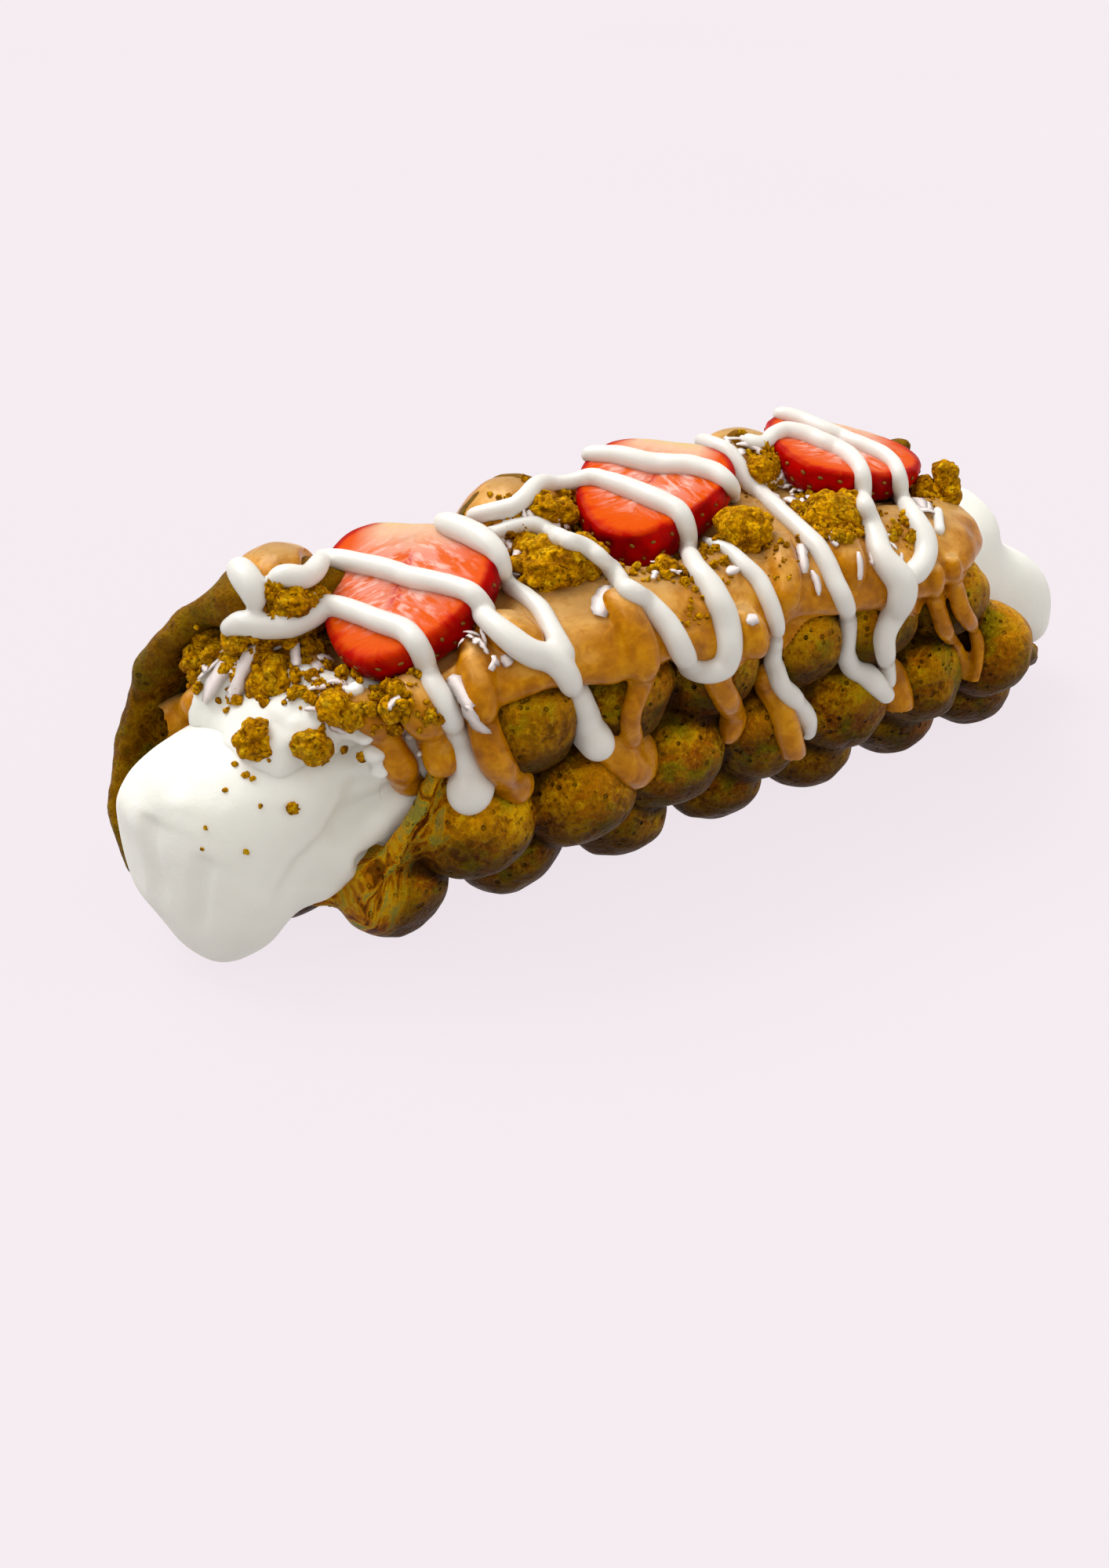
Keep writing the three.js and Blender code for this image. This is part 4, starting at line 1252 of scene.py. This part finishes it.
# Strands of white drizzle: points of the picture with the radius there.
DRIZZLE = [
    [(292, 801, 1.2), (308, 790, 1.7), (335, 796, 1.8), (372, 795, 1.7), (397, 784, 1.5),
     (410, 773, 1.5), (435, 777, 1.5), (485, 795, 1.55), (518, 807, 1.6), (533, 822, 1.5),
     (540, 845, 1.45), (555, 880, 1.6), (578, 920, 1.75), (588, 950, 2.0), (594, 975, 2.8),
     (597, 996, 3.5), (598, 1012, 3.7), (598, 1020, 3.4)],
    [(306, 728, 1.9), (315, 741, 2.3), (326, 758, 1.9), (327, 772, 1.0)],
    [(350, 740, 1.2), (362, 735, 1.6), (382, 740, 1.7), (398, 733, 1.5), (408, 716, 1.5),
     (440, 718, 1.5), (485, 727, 1.5), (530, 741, 1.5), (572, 749, 1.45), (600, 757, 1.45),
     (610, 768, 1.4), (617, 785, 1.5), (642, 806, 1.7), (669, 827, 1.9), (706, 845, 2.0),
     (722, 862, 1.8), (731, 882, 1.6), (738, 906, 2.1), (750, 927, 2.7), (761, 943, 2.9),
     (765, 950, 2.7)],
    [(552, 666, 1.0), (572, 672, 1.7), (594, 680, 1.9), (616, 692, 1.9), (632, 706, 1.4),
     (638, 732, 1.2), (649, 749, 1.2), (669, 763, 1.2), (689, 779, 1.3), (697, 796, 1.35),
     (708, 818, 1.5), (719, 840, 1.6)],
    [(717, 618, 1.1), (733, 588, 1.3), (756, 582, 1.4), (794, 586, 1.6), (836, 597, 1.75),
     (878, 597, 1.7), (914, 607, 1.6), (932, 622, 1.3), (937, 641, 0.9)],
    [(603, 660, 1.2), (628, 654, 1.25), (655, 649, 1.3), (670, 636, 1.3), (680, 621, 1.3),
     (694, 617, 1.3), (714, 628, 1.3), (733, 617, 1.35), (756, 611, 1.4), (794, 625, 1.65),
     (836, 642, 1.75), (866, 655, 1.6), (874, 677, 1.4), (875, 699, 1.4), (886, 727, 1.6),
     (906, 754, 1.9), (919, 782, 2.1), (927, 810, 2.0), (927, 832, 2.0), (919, 850, 1.9),
     (903, 857, 1.8), (886, 850, 1.8), (867, 829, 1.8), (850, 799, 1.7), (822, 771, 1.6),
     (794, 752, 1.5), (779, 727, 1.3), (756, 704, 1.1), (722, 691, 1.2), (694, 677, 1.35),
     (681, 668, 1.2), (656, 671, 0.9), (628, 682, 1.1), (606, 684, 1.2)],
    [(868, 561, 1.2), (900, 565, 1.4), (930, 578, 1.4), (944, 596, 1.2), (954, 618, 1.2),
     (974, 635, 1.35), (998, 659, 1.4), (1021, 679, 1.4), (1042, 700, 1.5), (1054, 724, 1.5),
     (1062, 744, 1.5), (1074, 765, 1.5), (1082, 788, 1.4), (1082, 812, 1.3), (1078, 829, 1.5),
     (1086, 847, 1.9), (1104, 865, 2.0), (1118, 879, 1.8), (1129, 889, 1.4)],
    [(896, 688, 0.5), (912, 696, 0.6), (928, 702, 0.9), (947, 722, 1.2), (967, 742, 1.25),
     (981, 771, 1.25), (989, 799, 1.1), (989, 824, 1.0), (984, 847, 1.4), (992, 873, 1.5),
     (1009, 894, 1.7), (1024, 915, 1.75), (1029, 934, 1.4)],
    [(951, 562, 1.1), (962, 570, 1.3), (972, 570, 1.3), (983, 559, 1.3), (998, 551, 1.4),
     (1027, 559, 1.65), (1056, 572, 1.7), (1083, 585, 1.5), (1097, 600, 1.35), (1099, 618, 1.35),
     (1098, 638, 1.35), (1106, 663, 1.7), (1115, 688, 1.8), (1119, 712, 2.1), (1134, 731, 2.4),
     (1147, 746, 2.7), (1143, 765, 2.4), (1134, 788, 2.0), (1125, 809, 1.8), (1127, 832, 1.7),
     (1131, 856, 1.5), (1133, 872, 1.2)],
    [(986, 530, 1.2), (1001, 533, 1.4), (1027, 542, 1.5), (1059, 557, 1.5), (1095, 571, 1.5),
     (1124, 583, 1.4), (1141, 595, 1.3), (1145, 612, 1.3), (1146, 632, 1.4), (1156, 653, 1.6),
     (1168, 671, 1.75), (1177, 688, 1.9), (1179, 706, 1.9), (1173, 722, 1.9), (1160, 735, 2.0)],
    [(1194, 650, 0.8), (1196, 664, 0.8), (1197, 682, 0.9)],
]


def make_drizzle(tree):
    """The strands, laid on all that is below them."""
    field = Field((-116, -50, 18), (62, 30, 84), 0.5)
    for marks in DRIZZLE:
        field.rope(*strand_on(tree, marks), 1.0)
    points, faces = field.skin()
    points = roughened(points, faces, (4, 0.1))
    piece("white_drizzle", points, faces, drizzle_looks(), "cream")


# --- scattered crumbs and shavings ---


def seen(tree, column, row):
    """Place and normal where the camera's line through a point of its picture meets a surface."""
    ahead, right, up = camera_axes()
    wide, tall = PICTURE
    side, rise = (column - wide / 2) / tall + SHIFT[0], (tall / 2 - row) / tall + SHIFT[1]
    way = ahead * LENS / SENSOR + right * side + up * rise
    place, out, _, _ = tree.ray_cast(Vector(EYE_MM), way.normalized())
    if place is None:
        return None
    return np.array(place), np.array(out if out.dot(way) < 0 else -out)


def camera_axes():
    """Directions of the view: ahead, right and up of the picture."""
    e, a, r = (math.radians(v) for v in (ELEVATION, HEADING, ROLL))
    ahead = Vector((math.cos(a) * math.cos(e), math.sin(a) * math.cos(e), -math.sin(e)))
    right = Vector((math.sin(a), -math.cos(a), 0))
    up = right.cross(ahead)
    return ahead, math.cos(r) * right + math.sin(r) * up, math.cos(r) * up - math.sin(r) * right


def surface_at(tree, x, turn):
    """Point and normal of the outermost surface at a turn round the roll."""
    start = on_turn(x, turn, 90.0)
    aim = Vector(on_turn(x, turn, 0.0) - start).normalized()
    place, out, _, _ = tree.ray_cast(Vector(start), aim)
    if place is None:
        return None
    normal = np.array(out)
    return np.array(place), normal if normal @ np.array(aim) < 0 else -normal


# Beds of crumbs: x from and to, turn from and to, count, smallest and largest radius.
CRUMB_BEDS = [
    (-66, -34, -8, 10, 50, 0.3, 1.2),
    (-8, 16, -10, 10, 50, 0.3, 1.3),
    (36, 47, -20, 20, 30, 0.3, 1.2),
    (-100, 47, -8, 50, 140, 0.15, 0.4),
]
# Beds of crumbs seen in the picture: corners, count, smallest and largest radius.
CRUMB_SPOTS = [
    (250, 798, 330, 850, 75, 0.5, 1.9), (242, 825, 262, 885, 16, 0.5, 1.6),
    (262, 840, 440, 900, 80, 0.4, 1.5), (330, 800, 420, 850, 45, 0.4, 1.4),
    (345, 745, 404, 792, 60, 0.4, 1.5), (408, 850, 560, 935, 100, 0.35, 1.3),
    (640, 630, 735, 700, 110, 0.3, 1.2), (650, 690, 680, 760, 40, 0.3, 1.0),
    (780, 690, 935, 745, 130, 0.35, 1.2), (865, 745, 925, 800, 22, 0.2, 0.7),
    (952, 565, 990, 625, 70, 0.4, 1.4), (1015, 625, 1096, 690, 170, 0.4, 1.6),
    (1060, 660, 1090, 690, 30, 0.4, 1.3), (1158, 606, 1190, 650, 45, 0.4, 1.3),
    (1110, 650, 1168, 700, 40, 0.3, 1.1), (975, 690, 1010, 740, 24, 0.2, 0.8),
]
# Crumbs on the cream, by their place in the picture and radius.
CREAM_CRUMBS = [
    (325, 943, 3.4), (398, 950, 2.9), (373, 1031, 1.2), (410, 968, 1.1), (438, 955, 1.0),
    (461, 965, 1.0), (289, 906, 0.8), (313, 988, 0.7), (322, 993, 0.5), (300, 975, 0.5),
    (287, 1008, 0.6), (332, 1028, 0.5), (314, 1086, 0.6), (262, 1056, 0.5), (258, 1083, 0.4),
    (343, 970, 0.35),
]
# Lumps of crumbs elsewhere, by their place in the picture and radius.
LUMPS = [
    (285, 815, 2.6), (262, 812, 2.0), (305, 812, 2.2), (252, 842, 1.9), (430, 905, 2.6),
    (445, 912, 1.7), (505, 905, 1.6), (370, 765, 2.2), (970, 600, 2.6), (1050, 650, 2.8),
    (1078, 648, 2.6), (1040, 668, 2.2), (1070, 670, 2.2), (1178, 628, 2.2), (672, 700, 1.9),
    (850, 728, 1.8), (690, 650, 2.2), (714, 654, 2.4),
]
# Lumps by their middle and radius: a pile at the far end, and some behind the second slice.
HIGH_LUMPS = [
    ((45, -17.5, 66.4), 2.0), ((45, -18, 63.6), 2.3), ((45, -18.5, 60.8), 2.2),
    ((43.6, -17, 61.5), 2.0), ((-36, 7.5, 68.2), 2.9), ((-32.6, 8.5, 67.6), 2.6),
    ((-39.5, 7, 68), 2.4),
]


def crumb(place, radius, draw):
    """One crumb, a dented ball."""
    ball, faces = BALLS[2 if radius > 1.0 else 1]
    ball = ball * (1 + 0.24 * draw.standard_normal(len(ball)) * 0.6)[:, None]
    size = radius * draw.uniform(0.7, 1.25, 3)
    turn = facing(draw.standard_normal(3), draw.uniform(0, 6))
    return (ball * size) @ turn.T + place, faces


def uncovered(tree, cover, column, row):
    """What seen() finds on a surface, unless the cover hides it."""
    found, hidden = seen(tree, column, row), seen(cover, column, row)
    if found and hidden:
        over, under = (np.linalg.norm(place - EYE_MM) for place, _ in (hidden, found))
        return None if over < under else found
    return found


def scattered(beds, tree, cover, draw):
    """Seeded places and normals in beds of the picture, with the last two numbers of each."""
    for left, top, right, low, count, *sizes in beds:
        for _ in range(count):
            found = uncovered(tree, cover, draw.uniform(left, right), draw.uniform(top, low))
            if found is not None:
                yield *found, *sizes


def make_glaze(tree):
    """White topping that covers the mound inside the mouth."""
    field = Field((-116, -34, 34), (-64, 22, 68), 0.6)
    for centre, radii in WHITE:
        field.ball(centre, radii, 3.0)
    for column, row, radius in WHITE_SPOTS:
        field.ball(seen(tree, column, row)[0], [radius, radius, radius * 0.8], 1.5)
    points, faces = field.skin()
    points = roughened(points, faces, (5, 0.6), (2.2, 0.35))
    piece("white_topping", points, faces, CREAM_LOOKS, "cream")
    return points, faces


def make_crumbs(tree, cover):
    """Crumbs and small lumps on the tree's surfaces where the cover leaves them open."""
    draw = np.random.default_rng(8)
    parts, lumps = [], []
    for x0, x1, t0, t1, count, small, large in CRUMB_BEDS:
        for _ in range(count):
            found = surface_at(tree, draw.uniform(x0, x1), draw.uniform(t0, t1))
            if found is not None:
                radius = small + (large - small) * draw.uniform() ** 2.2
                parts.append(crumb(found[0] + found[1] * radius * 0.45, radius, draw))
    for place, out, small, large in scattered(CRUMB_SPOTS, tree, cover, draw):
        radius = small + (large - small) * draw.uniform() ** 2
        parts.append(crumb(place + out * radius * 0.4, radius, draw))
    for i, (column, row, radius) in enumerate(CREAM_CRUMBS):
        place, _ = seen(tree, column, row)
        if radius > 2:
            lumps.append(small_lump(place, [radius, radius * 0.9, radius], 40 + i, 1.1))
        else:
            parts.append(crumb(place, radius, draw))
    for column, row, radius in LUMPS:
        place, out = seen(tree, column, row)
        lumps.append(small_lump(place + out * radius * 0.3, [radius] * 3, column))
    for i, (place, radius) in enumerate(HIGH_LUMPS):
        lumps.append(small_lump(place, [radius] * 3, 60 + i))
    piece("biscuit_crumbs", *joined(parts), BISCUIT_LOOKS, "biscuit")
    piece("biscuit_lumps", *joined(lumps), BISCUIT_LOOKS, "biscuit")


# Beds of white shavings seen in the picture: corners, count, shortest and longest.
FLAKE_SPOTS = [
    (262, 822, 335, 892, 8, 1.8, 4.5), (335, 760, 400, 800, 6, 1.5, 3.5),
    (380, 820, 432, 935, 5, 1.6, 4.0), (432, 865, 530, 950, 4, 1.6, 3.5),
    (640, 655, 740, 690, 10, 1.6, 3.5), (645, 690, 675, 750, 9, 2.0, 5.0),
    (735, 685, 800, 730, 14, 1.6, 3.5), (825, 700, 865, 740, 9, 1.6, 3.5),
    (975, 605, 1030, 655, 20, 1.6, 4.0), (1090, 690, 1150, 720, 6, 2.0, 4.0),
    (1160, 635, 1185, 660, 6, 2.0, 4.0), (925, 560, 965, 580, 6, 2.0, 4.0),
    (590, 790, 640, 850, 8, 1.5, 3.5),
]
# A pair of ends further apart than this lies across a step, and is left out.
LONGEST_FLAKE = 16
# Single shavings by their two ends in the picture, and width.
FLAKES = [
    ((328, 818), (302, 890), 1.9), ((300, 845), (262, 900), 2.2), ((286, 842), (256, 870), 1.7),
    ((372, 822), (342, 834), 1.5), ((378, 822), (380, 852), 1.4), ((408, 846), (400, 872), 1.6),
    ((440, 880), (482, 896), 1.2), ((575, 864), (602, 905), 2.0), ((598, 898), (624, 934), 2.6),
    ((772, 752), (764, 790), 2.6), ((952, 794), (967, 790), 1.6), ((948, 830), (973, 868), 2.6),
    ((1021, 698), (1024, 735), 1.7), ((1032, 730), (1042, 762), 1.1),
    ((1062, 682), (1070, 700), 1.2), ((1092, 706), (1094, 742), 1.0),
    ((1165, 640), (1180, 655), 2.0), ((644, 838), (650, 852), 1.6), ((832, 720), (858, 712), 2.2),
    ((768, 712), (792, 702), 2.0), ((985, 615), (1005, 612), 2.2),
    ((1000, 640), (1018, 650), 2.0), ((664, 700), (655, 730), 1.2), ((925, 735), (940, 728), 1.4),
]


def flake(start, end, out, width, draw, thick=0.2, ragged=0.35):
    """A thin curled shaving between two points, of four-sided rings."""
    span = end - start
    length = np.linalg.norm(span)
    side = np.cross(out, span)
    side /= max(1e-9, np.linalg.norm(side))
    t = np.linspace(0, 1, 7)[:, None]
    arch = draw.uniform(0.02, 0.14) * length
    spine = start + span * t + out * (4 * t * (1 - t) * arch)
    spine = spine + side * (draw.uniform(-0.2, 0.2) * length * t * (1 - t))
    wide = width / 2 * (1 - 0.4 * np.abs(2 * t - 1) ** 4)
    wide = wide * draw.uniform(1 - ragged, 1 + ragged, (7, 1))
    twist = draw.uniform(-0.7, 0.7) * (t - 0.5)
    across = side * np.cos(twist) + out * np.sin(twist)
    up = out * np.cos(twist) - side * np.sin(twist)
    corners = ((-1, 0), (0, 1), (1, 0), (0, -0.6))
    points = np.stack([spine + across * wide * a + up * thick * b for a, b in corners], 1)
    faces = []
    for a in range(24):
        b = a - a % 4 + (a + 1) % 4
        faces += [(a, b, b + 4), (a, b + 4, a + 4)]
    faces += [(0, 2, 1), (0, 3, 2), (24, 25, 26), (24, 26, 27)]
    return points.reshape(-1, 3), np.array(faces)


def make_flakes(tree, cover):
    """White shavings, scattered in beds and one by one."""
    draw = np.random.default_rng(15)
    parts = []
    for place, out, short, long in scattered(FLAKE_SPOTS, tree, cover, draw):
        way = facing(out, draw.uniform(0, 6))[:, 0] + out * draw.uniform(-0.1, 0.35)
        half = way * draw.uniform(short, long) / 2
        place = place + out * 0.9
        parts.append(flake(place - half, place + half, out, draw.uniform(0.8, 2.0), draw, 0.16))
    for a, b, width in FLAKES:
        (start, out), (end, _) = seen(tree, *a), seen(tree, *b)
        if np.linalg.norm(start - end) < LONGEST_FLAKE:
            lift = out * 0.8
            parts.append(flake(start + lift, end + lift, out, 1.35 * width, draw, ragged=0.2))
    piece("white_shavings", *joined(parts), flake_looks(), "cream")


waffle, *waffle_mesh, outer_side = make_waffle()
base = [waffle_mesh, make_cream()]
base.append(make_spread(base))
toppings = [*make_chunks(), *make_berries()]
base.append(make_glaze(tree_of(*base)))
ground, cover = tree_of(*base), tree_of(*toppings)
make_drizzle(tree_of(*base, *toppings))
close_off(waffle, *waffle_mesh, outer_side, ground)
make_crumbs(ground, cover)
make_flakes(ground, cover)

# --- camera, light and floor ---

FLOOR_REACH = 6.0
FLOOR_Z = -0.0005  # just below the roll, in metres

def add_camera():
    """The camera of the photo."""
    ahead, right, up = camera_axes()
    data = bpy.data.cameras.new("camera")
    data.lens, data.sensor_width, data.sensor_fit = LENS, SENSOR, "AUTO"
    data.shift_x, data.shift_y = SHIFT
    data.clip_start, data.clip_end = CLIP
    camera = bpy.data.objects.new("camera", data)
    turned_to = Matrix((right, up, -ahead)).transposed().to_4x4()
    camera.matrix_world = Matrix.Translation((EYE_MM + ORIGIN) / 1000) @ turned_to
    bpy.context.scene.collection.objects.link(camera)
    bpy.context.scene.camera = camera


def add_sun(name, toward, strength, wide):
    """A soft distant light that comes from the direction toward, wide degrees across."""
    data = bpy.data.lights.new(name, "SUN")
    data.energy, data.angle = strength, math.radians(wide)
    light = bpy.data.objects.new(name, data)
    light.rotation_euler = Vector(toward).to_track_quat("Z", "Y").to_euler()
    bpy.context.scene.collection.objects.link(light)


def add_stage():
    """The pale floor, and a sky that is brighter overhead."""
    look = Looks("floor")
    tint = look.mix(look.noise(400, 1), (247, 238, 243), (249, 240, 245))
    glow = {"Emission Color": tint, "Emission Strength": 0.885}
    mesh = bpy.data.meshes.new("floor")
    r = FLOOR_REACH
    mesh.from_pydata([(-r, -r, 0), (r, -r, 0), (r, r, 0), (-r, r, 0)], [], [(0, 1, 2, 3)])
    mesh.materials.append(look.finish((0.055, 0.055, 0.055, 1), 0.9, [], 0.0, **glow))
    floor = bpy.data.objects.new("floor", mesh)
    bpy.context.scene.collection.objects.link(floor)
    floor.location.z = FLOOR_Z
    floor.visible_diffuse = False
    world = bpy.data.worlds.new("studio")
    world.use_nodes = True
    nodes, links = world.node_tree.nodes, world.node_tree.links
    place = nodes.new("ShaderNodeTexCoord")
    height = nodes.new("ShaderNodeSeparateXYZ")
    fade = nodes.new("ShaderNodeMapRange")
    for socket, value in zip(list(fade.inputs)[1:5], (-0.3, 0.7, 0.50, 0.70)):
        socket.default_value = value
    links.new(place.outputs["Generated"], height.inputs[0])
    links.new(height.outputs["Z"], fade.inputs["Value"])
    background = nodes["Background"]
    background.inputs["Color"].default_value = (*srgb(255, 250, 246), 1)
    links.new(fade.outputs["Result"], background.inputs["Strength"])
    bpy.context.scene.world = world


# Suns: where the light comes from, strength and width.
SUNS = {
    "key": ((-0.2, 0.42, 0.85), 2.35, 36),
    "edge": ((-0.5, -0.1, 0.6), 0.3, 12),
    "fill": ((0.45, -0.65, 0.45), 0.42, 70),
}

add_camera()
add_stage()
for name, sun in SUNS.items():
    add_sun(name, *sun)
bpy.context.scene.view_settings.view_transform = "Standard"
